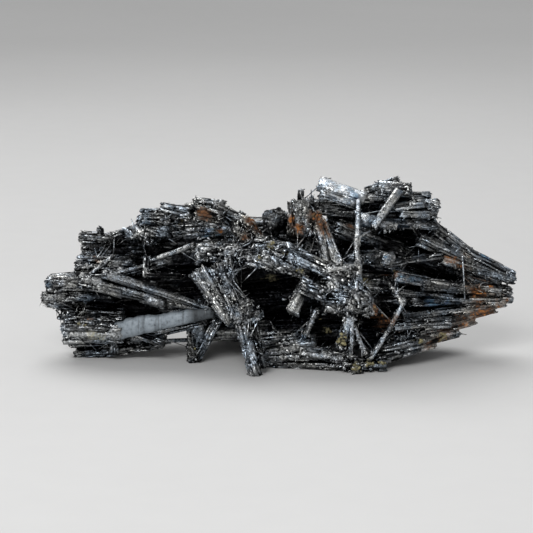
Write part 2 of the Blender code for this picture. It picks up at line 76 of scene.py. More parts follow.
# Each row: name, root x, y, z, tip x, y, z, width at the root, width at the tip, thickness.
HAND_PLACED = [Crystal(name, tuple(row[:3]), tuple(row[3:6]), *row[6:]) for name, *row in [
    # The lower left: the big cleaved blade, its rough butt and the laths below them.
    ("left_blade_butt", -67, -4.5, 9.5, -48.5, -6, 10, 8, 7.5, 9),
    ("bright_blade", -50.5, -8, 10.5, -20, -14.5, 17.5, 7, 3.5, 3.5),
    ("blade_keel", -47.5, -6, 6.5, -23.5, -9.5, 13, 2, 2, 3),
    ("under_blade_a", -64, 2, 1, -36, -3, 5.5, 3.5, 2.5, 8),
    ("under_blade_b", -65, 4, 4.5, -46.5, 0, 5.5, 4.5, 3, 8),
    ("under_stub", -52, -6, 9.5, -51.5, -7, 2.5, 3, 2, 3),
    ("under_lath", -45.5, -8, 9, -36, -9, 6.5, 2, 2.5, 3),
    ("under_needle", -40.5, -4, 5.5, -13.5, 2, 5, 1.5, 1.5, 1.5),

    # The far left: parallel laths that end in one rough, stepped break.
    ("left_end_a", -74, -1, 19, -51.5, -3, 19.5, 3.5, 3, 8),
    ("left_end_b", -72.5, 1, 21.5, -50.5, -2, 22.5, 3.5, 3, 9),
    ("left_end_c", -72.5, 0, 24, -52, -4, 24.5, 3, 3, 8),
    ("left_end_d", -72.5, 7, 23.5, -50.5, 6, 25.5, 2, 2.5, 7),
    ("left_end_e", -72.5, 4, 16, -53.5, 2, 15, 2.5, 3, 9),
    ("left_end_f", -68, 1, 14, -48.5, -1, 14, 4, 3, 9),
    ("left_end_g", -67.5, 1, 10.5, -50.5, -2, 12, 4, 3, 8),

    # The upper left: laths that end in a second break, further in, and step up to the roof.
    ("roof_end_a", -63, 10, 36.5, -40.5, 8, 35.5, 3, 3, 5),
    ("roof_end_b", -62.5, 13, 32.5, -37.5, 11, 33, 3.5, 3, 5),
    ("roof_end_c", -62.5, 11, 30.5, -39, 8, 30, 3, 3, 5),
    ("roof_end_d", -63.5, 3, 29, -45, 0, 30, 4, 3, 9),
    ("roof_end_e", -63, 1, 27, -48, -2, 28.5, 3, 3, 9),
    ("roof_knob", -56.5, 9, 35.5, -56.5, 9, 39.5, 2, 2, 2),
    ("roof_slope_a", -52.5, 6, 37, -35, 6, 42.5, 2.5, 3, 5),
    ("roof_slope_b", -44, 3, 43, -34, 3, 42.5, 3, 4, 5),
    ("roof_slope_c", -43, 6, 44.5, -31, 5, 44, 3, 4.5, 5),
    ("roof_slope_d", -37, 4, 47, -27, 4, 45, 3, 4, 5),
    ("roof_top_a", -29.5, 6, 46, -21, 4, 46.5, 3, 4, 5),
    ("roof_top_b", -26.5, 3, 48.5, -17, 2, 47.5, 3, 3.5, 5),
    ("roof_rust", -25.5, -3, 46.5, -17.5, -4, 45, 4.5, 4, 5),
    ("roof_lath_a", -21, -1, 49, -7.5, -4, 42, 3, 3, 3.5),
    ("roof_lath_b", -21, 0, 46.5, -9.5, -3, 40, 2.5, 2, 3.5),
    ("roof_mass_a", -47.5, 2, 39, -34, 0, 40, 3, 4.5, 5),
    ("roof_mass_b", -44.5, 1, 40.5, -39.5, -2, 36.5, 3, 2, 4),

    # The left front: the broad dull blade that slants down across the opening, and its laths.
    ("pale_lath", -61, -6, 24.5, -33, -6, 32, 3, 2, 4),
    ("cross_lath", -52, -3, 32.5, -59.5, -7.5, 27, 1.5, 1.5, 2.5),
    ("broad_blade", -62, -7.5, 26, -18, -14, 17, 5.5, 2, 4),
    ("broad_blade_low", -60, -9, 25, -48.5, -11, 22.5, 2.5, 3.5, 3),
    ("broad_blade_top", -54.5, -8, 28.5, -19, -15, 18, 3, 1.5, 4),
    ("broad_blade_stub", -43, -10, 21.5, -35, -13, 19.5, 4, 3.5, 4),
    ("thin_lath", -27.5, -9, 37, -40.5, -8, 32, 2, 1.5, 2),
    ("upright_stub", -41, -7.5, 33.5, -41, -9, 27, 2, 2.5, 3),
    ("upright_foot", -41, -10, 28, -30, -7, 27, 1.5, 1.5, 2),

    # The middle: the thick slanting pillar, the leg below it and the arch beside them.
    ("pillar_a", -24.5, -14, 30.5, -14, -19, 15.5, 6.5, 4.5, 8),
    ("pillar_b", -18.5, -14, 32, -11, -20, 16, 6.5, 4.5, 8),
    ("pillar_c", -16.5, -13, 34, -14.5, -17, 23, 4, 3.5, 6),
    ("leg_a", -11.5, -19, 16.5, -7, -24, -1.5, 4, 4, 5),
    ("leg_b", -8.5, -17, 16, -5, -22, 1.5, 3, 2.5, 4),
    ("left_foot", -24.5, -5, 14, -27, -8, -1, 9, 3.5, 7),
    ("foot_lath", -19, -8, 14, -25.5, -8.5, 1, 3, 2.5, 4),
    ("dark_beam", -28.5, 1, 7.5, -3.5, 3, 7, 5, 5, 9),
    ("stub_end_on", -9.5, -28, 22, -12, -14, 20.5, 4, 4, 3.5),
    ("hook_lath", -12.5, -20, 16, -5.5, -23, 18.5, 3.5, 2.5, 4),
    ("shelf_block", -25.5, -11, 35, -12, -11, 34.5, 6.5, 6.5, 7),
    ("round_knob", -11.5, 0, 46, -12.5, -1, 40, 3, 3, 3),
    ("saddle_lath_a", -13.5, -4, 42.5, -6, -8, 33.5, 3.5, 3, 4),
    ("saddle_lath_b", -10, -3, 44.5, -4.5, -5, 37.5, 2, 2, 2.5),
    ("dark_lump", -1, 3, 44.5, -1, 7, 35, 8, 8, 8),

    # The centre: the shelf over the dark hollow, the druse that hangs from it and loose laths.
    ("shelf_band_a", -15.5, -10, 33.5, -2, -13, 33, 4.5, 4, 5),
    ("shelf_band_b", -5, -12, 34, 10, -15, 30, 5.5, 4.5, 5),
    ("shelf_band_c", -7.5, -8, 37, 6.5, -10, 35.5, 5, 4.5, 5),
    ("twin_lath_a", 2, -15, 38.5, 22.5, -19, 30, 2, 2.5, 4),
    ("twin_lath_b", 3, -16, 35.5, 20, -20, 28.5, 3, 3, 4),
    ("fan_lath_a", 11.5, -8, 47.5, 15, -17, 31.5, 3, 3, 4),
    ("fan_lath_b", 13.5, -9, 44.5, 18.5, -19, 32.5, 2.5, 3, 4),
    ("flat_gleam", 14, -20, 32, 25, -17, 33, 2.5, 2.5, 4),
    ("rust_block", 7.5, -5, 51, 9, -7, 40, 7, 7.5, 8),
    ("rust_edge", 4, -3, 50, 4.5, -4, 39.5, 2, 3, 5),
    ("rust_knob", 7, -5, 50.5, 7, -5, 54, 2, 2, 2),
    ("back_lath", 0.5, -1, 38.5, 14.5, -4, 38, 1.5, 1.5, 2),
    ("gleam_stub", 10, -13, 30.5, 4, -24.5, 19.5, 4, 4.5, 4),
    ("strut_lath", 11.5, -20, 19.5, 7.5, -15, 8, 2, 2, 2),
    ("druse_a", 15.5, -17, 28, 26.5, -21, 21, 7, 6.5, 8),
    ("druse_b", 22, -15, 31, 21, -21, 18.5, 7, 6.5, 8),
    ("druse_c", 14.5, -18, 21, 28, -19, 21.5, 5.5, 5.5, 7),
    ("druse_d", 12, -16, 25.5, 19, -18, 29.5, 4.5, 5.5, 6),
    ("druse_e", 25.5, -18, 25, 28.5, -20, 18, 4, 4, 5),
    ("druse_f", 6.5, -19.5, 27.5, 14, -20.5, 24.5, 5, 4.5, 5),

    # The bottom: striated laths along the surface, and the yellow-crusted foot on their right.
    ("low_block_a", -5, -13, 5.5, 11.5, -15, 8, 4.5, 4, 6),
    ("low_block_b", -5, -12, 2.5, 16.5, -15, 4.5, 3, 4, 7),
    ("low_block_c", -4, -12, 0.5, 21, -17, 2, 2, 3, 7),
    ("low_block_d", 6.5, -15, 5.5, 22, -18, 3.5, 4, 4, 6),
    ("low_gleam_a", -6, -9, 9, 8.5, -9, 10.5, 1.5, 1.5, 3),
    ("low_gleam_b", -6.5, -10, 7.5, 6.5, -12, 9, 2, 2, 3),
    ("hang_a", 22, -21, 18.5, 19, -22, 8.5, 4, 3.5, 4),
    ("hang_b", 22.5, -21.5, 21, 22, -24, 5.5, 1.5, 1.5, 2),
    ("hang_c", 22, -21, 17, 26.5, -23, 6, 1.5, 1.5, 1.5),
    ("nodule_foot", 19.5, -19, 2.5, 33, -19, 2, 3, 3, 6),
    ("nodule_tip", 23, -19, 4, 24, -22, -1.5, 4, 3.5, 4),

    # The right front: thin crystals that bridge the hollow in front of the long blades.
    ("post_a", 24.5, -11, 52, 24, -18, 39, 1.5, 2, 2),
    ("post_b", 23.5, -18, 41.5, 25, -20, 22, 2, 2.5, 2.5),
    ("brace", 37.5, -7, 54.5, 29, -14, 44, 3, 2.5, 2.5),
    ("brace_knot", 24, -12, 46.5, 35.5, -9, 43.5, 4, 4, 4),
    ("inner_lath", 20, 5, 30.5, 34.5, -14, 34.5, 4, 4, 4),
    ("stay_a", 33.5, -8, 27, 38.5, -16, 20, 1.5, 1.5, 1.5),
    ("stay_b", 39, -15, 21.5, 34, -17, 12.5, 1.5, 1.5, 1.5),
    ("stay_c", 34.5, -17, 13.5, 27.5, -20, 2.5, 1.5, 2, 2),

    # The top right: the bright striated blade, the slabs beside it and the laths behind them.
    ("top_blade_a", 12.5, -2, 55.5, 27, -4, 51, 4.5, 4, 6),
    ("top_blade_b", 13, -6, 53.5, 24, -8, 50, 2.5, 2.5, 4),
    ("top_blade_c", 20.5, -2, 51, 35.5, -3, 50.5, 3, 3, 5),
    ("top_slab_a", 27.5, 2, 52, 37.5, 0, 55, 3, 4.5, 5),
    ("top_slab_b", 31, -2, 54, 41, -3, 53.5, 4.5, 4.5, 5),
    ("top_lath_a", 37.5, 3, 50.5, 47.5, 3, 50.5, 3, 2.5, 5),
    ("top_lath_b", 39, -1, 48.5, 50, -1, 48.5, 3, 3.5, 6),
    ("top_lath_c", 37, -4, 46.5, 49, -3, 46, 3, 3, 6),
    ("top_lath_d", 31, -6, 48.5, 45, -5, 50, 2.5, 3, 4),
    ("top_lath_e", 30.5, -8, 44.5, 49, -3, 43, 3, 3, 5),
    ("top_under", 10, 0, 48, 32, 2, 46.5, 4, 4.5, 8),

    # The right: long blades that close to one point, above and below the hollow.
    ("ridge_a", 45.5, 2, 43.5, 63, 4, 29.5, 4, 3.5, 5),
    ("ridge_b", 53.5, 2, 35, 74.5, 4, 24.5, 4.5, 3.5, 5),
    ("tip_a", 50.5, -3, 32, 74.5, 4, 23.5, 4, 2.5, 5),
    ("tip_b", 44, -6, 24, 73.5, 4, 20.5, 3, 2, 5),
    ("tip_c", 41, -7, 19.5, 74, 4, 17.5, 3, 2, 5),
    ("tip_d", 38, -8, 14.5, 71.5, 3, 16.5, 2.5, 2.5, 5),
    ("keel_a", 38, -9, 10.5, 68, 1, 15, 3, 2.5, 6),
    ("keel_b", 35.5, -11, 7.5, 61.5, -2, 12, 3.5, 3, 6),
    ("keel_c", 31, -15, 5, 56, -5, 9, 4, 3.5, 6),
    ("keel_d", 29, -17, 3, 48.5, -8, 6, 4, 3, 6),
    ("inner_a", 32.5, -8, 31, 51, -4, 33, 2, 2, 4),
    ("inner_b", 36, -10, 28, 53, -6, 24, 3, 2.5, 4),
    ("inner_c", 37, -9, 22.5, 54.5, -4, 20, 2, 2, 3),
    ("inner_d", 35, -13, 12.5, 53.5, -7, 12.5, 3, 3, 4),
    ("inner_e", 43.5, -3, 38.5, 60, 0, 30, 4, 4, 5),

    # The back: blades that cross behind the spray, and the two that it leans on there.
    ("back_blade_low", -60, 16, 9, -14, 22, 15, 8, 5, 6),
    ("back_blade_slant", -52, 18, 30, -8, 26, 19, 6.5, 7.5, 4.5),
    ("back_blade_rise", -16, 24, 14, 22, 24, 41, 7, 5, 5),
    ("back_blade_fall", -2, 21, 38, 43, 22, 20, 6, 6.5, 5),
    ("back_shelf", -34, 16, 37, 4, 19, 39, 4.5, 5, 8),
    ("back_shelf_lath", -46, 13, 37, -12, 20, 40, 3, 3, 3),
    ("back_keel", 0, 22, 7, 56, 10, 11, 7, 4, 7),
    ("back_keel_lath", 10, 26, 4, 44, 17, 7, 4, 3, 5),
    ("back_ridge", 14, 17, 46, 60, 8, 30, 5, 4.5, 7),
    ("back_ridge_lath", 24, 14, 48, 52, 11, 38, 3.5, 3, 5),
    ("back_foot_left", -34, 18, 18, -10, 24, -1.5, 7, 6, 6),
    ("back_foot_block", -25, 15, 6, -6, 17, 4, 6, 5, 8),
    ("back_foot_right", 8, 20, 17, 35, 22, -1.5, 7, 6, 6),
    ("back_stub_a", 4, 20, 28, 1, 28, 25, 4, 4.5, 4),
    ("back_stub_b", 24, 8, 31, 31, 27, 36, 3.5, 4, 3.5),
    ("back_stub_c", -32, 17, 22, -36, 27, 19, 4, 3.5, 4),
    ("back_lath_a", -58, 17, 22, -26, 23, 26, 3.5, 3, 4),
    ("back_lath_b", -30, 22, 33, 2, 26, 28, 3, 3.5, 3),
    ("back_lath_c", -22, 22, 9, 14, 25, 12, 3.5, 3, 4),
    ("back_lath_d", 14, 24, 30, 58, 11, 25, 3.5, 3, 4),
    ("back_lath_e", 26, 23, 15, 62, 9, 18, 3.5, 3, 4),
    ("back_lath_f", 6, 22, 22, 27, 25, 9, 3, 2.5, 4),
    ("back_lath_g", -44, 21, 12, -38, 18, 34, 3, 2.5, 3),
    ("back_lath_h", -12, 20, 40, -22, 22, 28, 3, 3, 3),

    # Inside, where a single crystal closes a gap that light would show through.
    ("inner_left", -52, 5, 29, -16, 6, 31, 6, 6, 6),
    ("inner_ridge", 34, 6, 44, 63, 5, 30, 7, 4, 6),
    ("inner_post", 14, 6, 30, 40, 4, 38, 7, 7, 6),
    ("inner_low", 8, 2, 5, 40, 2, 5, 7, 7, 8),
    ("inner_spine", -32, 14, 27, 26, 15, 24, 6, 6, 6),
]]

# Sheaves of like crystals that fill the inside. Each crystal runs from a point near the root
# to the same place near the tip, so the sheaf stays parallel, or closes where it narrows.
Sheaf = namedtuple("Sheaf", "name count root root_spread tip tip_spread width thickness")

SHEAVES = [
    Sheaf("left_core", 9, (-61, 10, 17), (4, 7, 7), (-22, 10, 20), (5, 10, 10), (6, 8), (4, 6)),
    Sheaf("roof_core", 7, (-53, 12, 32), (6, 7, 3), (-14, 9, 36), (6, 9, 4), (5, 7), (4, 6)),
    Sheaf("middle", 8, (-24, 6, 22), (6, 9, 11), (18, 6, 26), (6, 11, 12), (7, 9), (5, 7)),
    Sheaf("right_fan", 15, (18, 8, 27), (6, 14, 17), RIGHT_TIP, (3, 3, 4), (5, 7), (4, 6)),
    Sheaf("lower_fan", 7, (-6, 2, 7), (6, 11, 3), (47, 2, 10), (6, 9, 3), (6, 8), (5, 7)),
    Sheaf("top_slabs", 5, (16, 8, 45), (4, 6, 3), (42, 6, 45), (5, 6, 3), (5, 7), (4, 6)),
    Sheaf("uprights", 5, (6, 8, 12), (28, 8, 3), (4, 6, 39), (26, 8, 3), (5, 7), (4, 6)),
]

# How a crystal is finished: the spacing of its grooves, how deep they are, how much its body
# wanders, the share of its outline that carries loose laths, the shortest and longest of them,
# how far they splay sideways, how far its ends break back, and its darkest and lightest tone.
# A style without laths makes one fluted prism.
Style = namedtuple("Style", "groove relief wander laths short long splay ragged dark light")

BLADE = Style(0.75, 0.30, 0.10, 0.50, 3, 12, 0.20, 1.0, 0.12, 0.95)
LATHS = Style(0.80, 0.40, 0.20, 0.60, 2, 8, 0.40, 1.3, 0.08, 0.95)
DULL = Style(0.80, 0.16, 0.04, 0.15, 8, 26, 0.06, 0.6, 0.20, 0.50)
BRIGHT = Style(0.80, 0.20, 0.05, 0.35, 4, 14, 0.10, 0.8, 0.50, 1.15)
# GLINT_WHITE paints a highlight: tones up to 1.3 make the top blade's face a white reflection of
# the lamp.
GLINT_WHITE = Style(1.10, 0.12, 0.03, 0.20, 6, 14, 0.04, 0.5, 1.00, 1.30)
HEWN = Style(0.85, 0.50, 0.32, 0.55, 2, 8, 0.45, 0.8, 0.15, 1.00)
ROUGH = Style(0.85, 0.60, 0.45, 0.60, 1.2, 4, 0.90, 0.9, 0.16, 1.05)
# SHADED_CORE is for the crystals deep inside: their tone is held near black, painted shade for the
# hollows they sit in.
SHADED_CORE = Style(1.10, 0.40, 0.15, 0.40, 5, 18, 0.20, 1.5, 0.01, 0.17)
LUMP = Style(1.20, 0.30, 0.30, 0.15, 1, 3, 0.80, 0.4, 0.15, 0.60)
PRISM = Style(1.60, 0.10, 0.02, 0.00, 5, 12, 0.03, 0.2, 0.10, 1.40)
NEEDLE = Style(0.60, 0.10, 0.04, 0.00, 9, 30, 0.04, 0.5, 0.60, 1.15)

# What a crystal's name starts with gives its style. The first that fits counts, and a crystal
# that none of them fits is a BLADE.
STYLES = [
    (GLINT_WHITE, "top_blade_a"),
    (BRIGHT, "top_blade flat_gleam inner_lath low_gleam fan_lath"),
    (PRISM, "gleam_stub"),
    (DULL, "broad_blade pale_lath"),
    (ROUGH, "shelf druse roof_mass"),
    (HEWN, "left_blade_butt left_end pillar leg foot hook"),
    (LUMP, "stub_end left_foot dark_lump round_knob nodule rust"),
    (NEEDLE, "post brace stay hang thin under_needle cross_lath strut"),
    (LATHS, "roof twin_lath under saddle keel"),
    (SHADED_CORE, "left_core middle lower_fan uprights"),
    (SHADED_CORE, "inner_left inner_ridge inner_post inner_low inner_spine"),
]

# Painted shade: spots in the hollows and recesses, and on a few darker patches, where the tone is
# darkened towards black. Each spot is a centre, a radius and a strength.
SHADE_SPOTS = [
    (-6.5, -2.5, 24.5, 5.5, 1), (-1.5, -2.5, 15, 6, 1), (-8, -17, 13.5, 4, 1),
    (11.5, -5, 10.5, 3, 1), (2.5, -2, 24.5, 4, 1), (10, -2.5, 16.5, 4, 1), (-40, 5, 34, 8, 1),
    (-35.5, -2.5, 29.5, 4, 1), (-56, -3, 18.5, 7, 1), (-53, -2, 15.5, 5, 1), (-45.5, 2, 15, 5, 1),
    (30.5, -4.5, 49, 4, 1), (20.5, 0, 37, 4.5, 1), (33.5, -0.5, 37, 6, 1), (42, 0, 36.5, 6, 1),
    (44, -1, 28.5, 6, 1), (52.5, 0.5, 27, 4.5, 1), (33, 1, 18, 5, 1), (36, -4.5, 21.5, 4, 1),
    (46.5, -7, 20.5, 4, 1), (41.5, -5.5, 14.5, 4, 1), (32, -3.5, 11, 4, 1), (-29.5, 3, 25.5, 5, 1),
    (-27.5, 3, 21, 5, 1), (-16.5, -2, 44.5, 3, 1), (2, 1, 42.5, 4, 1), (16, -6.5, 6, 3, 1),
    (28, -3, 11.5, 4, 1), (1.5, -8, 10, 4, 1), (-51, 6, 34, 5, 1), (-56.5, 5, 29, 3.5, 0.8),
    (-45.5, 4, 30.5, 4.5, 1), (-37.5, 4, 33, 5, 1), (-31.5, 3, 34, 4.5, 1), (-40.5, 2, 28, 4, 0.9),
    (-28, 0, 30, 4, 0.8), (-10.5, -3, 29.5, 5, 1), (-5, -3, 28.5, 5, 1), (-8.5, -3, 24, 6, 1),
    (-2, -3, 22, 6, 1), (2, -4, 26.5, 4, 0.9), (33.5, -3, 15.5, 5, 1), (39, -3, 11.5, 5.5, 1),
    (44, -2, 12.5, 4, 0.9), (35, -1, 36, 5.5, 1), (42, 1, 37, 5.5, 1), (47.5, 1, 35, 4.5, 1),
    (63, 0, 25, 2.5, 0.9), (29.5, -7, 44.5, 3, 0.5), (-2, 3, 43.5, 5, 0.5), (-72, 0, 20.5, 4, 0.4),
    (-68.5, 0, 18, 5, 0.4), (-24.5, -4, 17, 5, 0.8), (-31, -2, 19.5, 5, 0.7),
    (6.5, -14, 24.5, 3, 0.8), (38, -6, 19.5, 3, 0.6), (13, -12, 13.5, 4, 0.7),
    (6.5, -8, 12.5, 5, 0.8), (20.5, -3, 38, 5, 0.7), (13.5, -2, 42, 4, 0.6),
    (-71.5, -5, 24.5, 4, 0.35), (-65, -6, 22.5, 6, 0.35), (-58.5, -6, 24.5, 4, 0.35),
    (-68.5, -5, 21.5, 5, 0.3), (38, -9, 13.5, 4, 0.9), (42.5, -8, 14.5, 4, 0.8),
    (34, -10, 13, 3, 0.7), (45.5, -5, 37.5, 3, 0.7), (57, -3, 31, 3, 0.5),
    (32.5, -12, 45.5, 3, 0.6), (34.5, -6, 32.5, 3, 0.8), (21.5, -16, 14.5, 2.5, 0.8),
    (-20.5, -16, 21, 2.5, 0.7), (-16.5, -18, 16.5, 2.5, 0.8), (7, -20, 24, 2.5, 0.8),
    (17.5, -16, 27.5, 2, 0.5), (37.5, -10, 20, 2.5, 0.6), (63.5, -1, 25.5, 4, 0.4),
    (50.5, -6, 25.5, 3, 0.4), (6.5, -6, 44, 3, 0.5), (-34, 2, 41.5, 4, 0.4),
    (-40.5, 2, 43.5, 3, 0.4), (-37, -4, 33.5, 4, 0.5), (-49.5, -3, 32, 4, 0.5),
    (37.5, -12, 20.5, 3, 0.8), (35, -8, 32, 3, 0.8), (22, -18, 13, 2.5, 0.8),
    (39.5, -9, 12, 4, 0.6), (24.5, -8, 41.5, 3, 0.5), (-35.5, -5, 32.5, 4, 0.5),
    (-13, -6, 37.5, 3, 0.5), (-8, -8, 32, 3, 0.4), (6.5, -8, 43.5, 4, 0.4),
    (14.5, -8, 44.5, 3, 0.4), (-18.5, -17, 19.5, 2, 0.8), (-22.5, -16, 24, 2, 0.6),
]

# Painted highlights: spots where the tone is lightened to stand in for glints of light.
HIGHLIGHT_SPOTS = [
    (1, -16, 5.5, 8, 0.9), (13.5, -16, 33.5, 6, 0.8), (17.5, -18, 31.5, 5, 0.8),
    (29, -8, 34, 4.5, 0.9), (33.5, 0, 53, 6, 0.7), (20.5, -3, 53.5, 6, 0.8),
    (-10.5, -24, 21, 4, 0.7), (5, -23, 20.5, 4, 0.9), (-40, -12, 12.5, 6, 0.3),
    (-23.5, -11, 36.5, 4, 0.9), (20, -20, 27, 6, 0.5), (-17, -2, 37.5, 5, 0.4), (69, 2, 28, 6, 0.5),
    (70, 0, 18, 6, 0.5), (-54.5, -8, 12, 6, 0.3), (-38, 3, 36.5, 4, 0.5), (-19.5, -18, 22, 6, 0.3),
    (44, 0, 48.5, 6, 0.4), (-54, -8, 12.5, 4, 0.5), (-46.5, -8, 18.5, 3, 0.5),
    (-43, 0, 38.5, 3, 0.5), (-32.5, 4, 47.5, 3, 0.6), (-19.5, 4, 48.5, 3, 0.6),
    (-21, -4, 40.5, 3, 0.5), (3, -10, 26.5, 4, 0.6), (18, -20, 16, 4, 0.6), (29, -16, 15.5, 3, 0.6),
    (68.5, 2, 16, 4, 0.6), (47.5, -10, 4, 5, 0.6), (35, -18, 5.5, 4, 0.6), (39.5, -2, 55, 3, 0.8),
    (57.5, 4, 36.5, 3, 0.6), (65, 3, 29.5, 3, 0.6), (-2.5, -18, 8, 5, 0.5), (2, -6, 19.5, 3, 0.4),
    (29, -4, 52.5, 4, 0.7), (40.5, -2, 55, 4, 0.8), (46.5, 0, 50, 4, 0.8), (36, -5, 47, 3, 0.7),
    (47.5, 0, 43, 3, 0.6), (68.5, 1, 17, 4, 0.7), (65, 3, 28.5, 4, 0.6), (15.5, -20, 14.5, 4, 0.6),
    (12.5, -18, 20.5, 3, 0.5), (-54, -9, 12, 4, 0.7), (0.5, -6, 25.5, 5, 0.7),
    (-2.5, -20, 7.5, 4, 0.6),
]

# Stains and tarnish, and the rounded ochre grains that stand on the stains.
RUST = [
    (-23, -6, 46.5, 3, 1), (-25.5, -3.5, 47, 2, 0.8), (-20.5, -5, 44, 2, 0.9), (-19, 5, 39, 2, 0.8),
    (-28, 3.5, 43.5, 3, 0.5), (-9, -4.5, 44, 2.5, 0.9), (-10, -7.5, 40, 2.5, 0.8),
    (-6.5, -5, 41.5, 2.5, 0.7), (-14.5, -2.5, 44, 1.5, 0.6), (4.5, -6, 45.5, 2.2, 0.9),
    (4, -5.5, 49.5, 2, 0.6), (6.5, -10, 43.5, 2, 0.8), (11, -10.5, 47, 3, 0.9),
    (13.5, -12, 44, 3, 0.9), (15, -14, 41.5, 2.5, 0.7), (9.5, -11, 42.5, 2, 0.7),
    (21.5, -3, 42.5, 2, 0.8), (29.5, 12.5, 24, 2.5, 0.8), (34, -1, 26, 2.5, 0.9),
    (36.5, -10.5, 28.5, 2, 0.9), (30, -20.5, 19.5, 2.5, 0.9), (33.5, -1.5, 13, 3, 0.9),
    (32, -4.5, 10.5, 3, 0.9), (36, -17, 15, 2.5, 0.8), (38, -14, 11.5, 2.5, 0.6),
    (49, 2.5, 38, 2.5, 0.9), (52, 2.5, 36, 2, 0.6), (53, -5.5, 32.5, 2.5, 0.8),
    (56, -4.5, 30, 2.5, 0.8), (59, -1, 32.5, 2, 0.6), (66, -0.5, 23.5, 2.2, 0.8),
    (62, -1.5, 25, 2, 0.8), (58.5, -1, 27, 2, 0.7), (61.5, -2.5, 21, 3, 0.9), (64, -1, 19, 3, 0.9),
    (59, -3, 23, 2, 0.7), (70, 0, 15.5, 3, 0.7), (66.5, -2.5, 14.5, 3, 0.8),
    (62.5, -4, 13.5, 3, 0.7), (57.5, -6.5, 12.5, 3, 0.7), (52.5, -8.5, 10, 3, 0.6),
    (72.5, 1.5, 17.5, 2, 0.5), (46, -12.5, 6.5, 2, 0.7), (50, -9, 7, 2, 0.6),
    (-58.5, 3, 31, 1.5, 0.9), (-70, -0.5, 25.5, 2.5, 0.5), (-59.5, -6, 13.5, 3, 0.5),
    (-57, -0.5, 30.5, 2, 0.6), (-31.5, 3.5, 43.5, 2, 0.5), (-53, 0.5, 16, 2, 0.4),
    (30, 20, 22, 4, 0.7), (-20, 22, 30, 4, 0.6), (45, 12, 30, 3, 0.7), (4, 22, 34, 3, 0.6),
    (56, 9, 16, 4, 0.6), (-48, 16, 24, 3, 0.5), (20, 10, 50, 3, 0.6), (16, 24, 10, 3, 0.5),
    (50.5, -8, 8.5, 5, 0.6), (57, -5, 12, 5, 0.6), (63, -2, 15, 5, 0.7), (45.5, -10, 6, 5, 0.5),
    (36.5, -6, 13.5, 5, 0.8), (31.5, -8, 12, 4, 0.9), (70, 1, 17.5, 4, 0.5),
    (6.5, -6, 42.5, 5, 0.7), (-21, 0, 45.5, 4, 0.5), (-10.5, -4, 38, 5, 0.5),
]
OCHRE = [
    (-30.5, 5, 42.5, 2.5, 0.9), (-2.5, -11, 37.5, 2, 0.9), (2.5, -12, 35.5, 1.6, 1),
    (-12, -3, 29.5, 1.5, 0.9), (-6, -14, 34.5, 1.5, 0.7), (6.5, -17, 31, 1.4, 0.9),
    (-2.5, -2.5, 25.5, 2, 0.9), (13.5, -1.5, 12, 1.3, 1), (15.5, -5, 9.5, 1.6, 1),
    (19, -24, 10.5, 2.2, 1), (20, -23.5, 12.5, 1.5, 0.8), (27.5, -5, 25.5, 1.4, 0.9),
    (24, -22.5, 1.5, 2, 1), (28, -22, 3, 2, 1), (32, -21, 3, 2, 1), (18, 1, 13.5, 1.2, 0.7),
    (44, -13, 7.5, 1.3, 1), (51, -10, 8.5, 2.5, 0.8), (62, -1, 19, 1.2, 0.9), (-62, -8, 12, 2, 0.9),
    (-57.5, -9.5, 8.5, 3, 0.7), (-55, -9.5, 8.5, 3, 0.6), (-59.5, -9.5, 9, 2.5, 0.7),
    (11, -10.5, 47, 1.6, 0.9), (23, -1.5, 43, 2, 0.6), (-21, -16, 37.5, 2, 0.4),
    (21.5, -22.5, 26.5, 2, 0.5), (-2.5, -0.5, 41, 2, 0.4), (20, -23, 16, 2, 0.6),
    (29.5, -21, 20, 1.6, 0.8), (36, -9.5, 28.5, 1.4, 0.9), (-24.5, -10, 1, 4, 0.4),
    (-26, -10, 6, 4, 0.25), (22, -21, 4.5, 2, 0.5), (-30, 19, 38, 2, 0.8), (10, 24, 26, 2, 0.8),
    (34, 17, 38, 2, 0.7), (-8, 23, 16, 2, 0.7), (48, 14, 20, 2, 0.8),
]
NODULES = [
    (-30.5, 5, 42.5, 1.6, 0.9), (-2.5, -11, 37.5, 1.5, 0.9), (2.5, -12, 35.5, 1.4, 1),
    (-12, -3, 29.5, 1.2, 0.9), (-6, -14, 34.5, 1.2, 0.7), (6.5, -17, 31, 1.3, 0.9),
    (-2.5, -2.5, 25.5, 1.5, 0.9), (13.5, -1.5, 12, 1.2, 1), (15.5, -5, 9.5, 1.4, 1),
    (19, -24, 10.5, 1.7, 1), (20, -23.5, 12.5, 1.2, 0.8), (27.5, -5, 25.5, 1.2, 0.9),
    (24, -22.5, 1.5, 1.6, 1), (28, -22, 3, 1.6, 1), (32, -21, 3, 1.5, 1), (44, -13, 7.5, 1.2, 1),
    (51, -10, 8.5, 1.8, 0.8), (62, -1, 19, 1.2, 0.9), (-60.5, -9, 12, 1, 0.6),
    (11, -10.5, 47, 1.2, 0.7), (29.5, -21, 20, 1.4, 0.8), (36, -9.5, 28.5, 1.2, 0.9),
    (-25.5, -10.5, 5, 1, 0.5), (-30, 19, 38, 1.5, 0.8), (10, 24, 26, 1.5, 0.8),
    (34, 17, 38, 1.5, 0.7), (-8, 23, 16, 1.5, 0.7), (48, 14, 20, 1.6, 0.8),
]
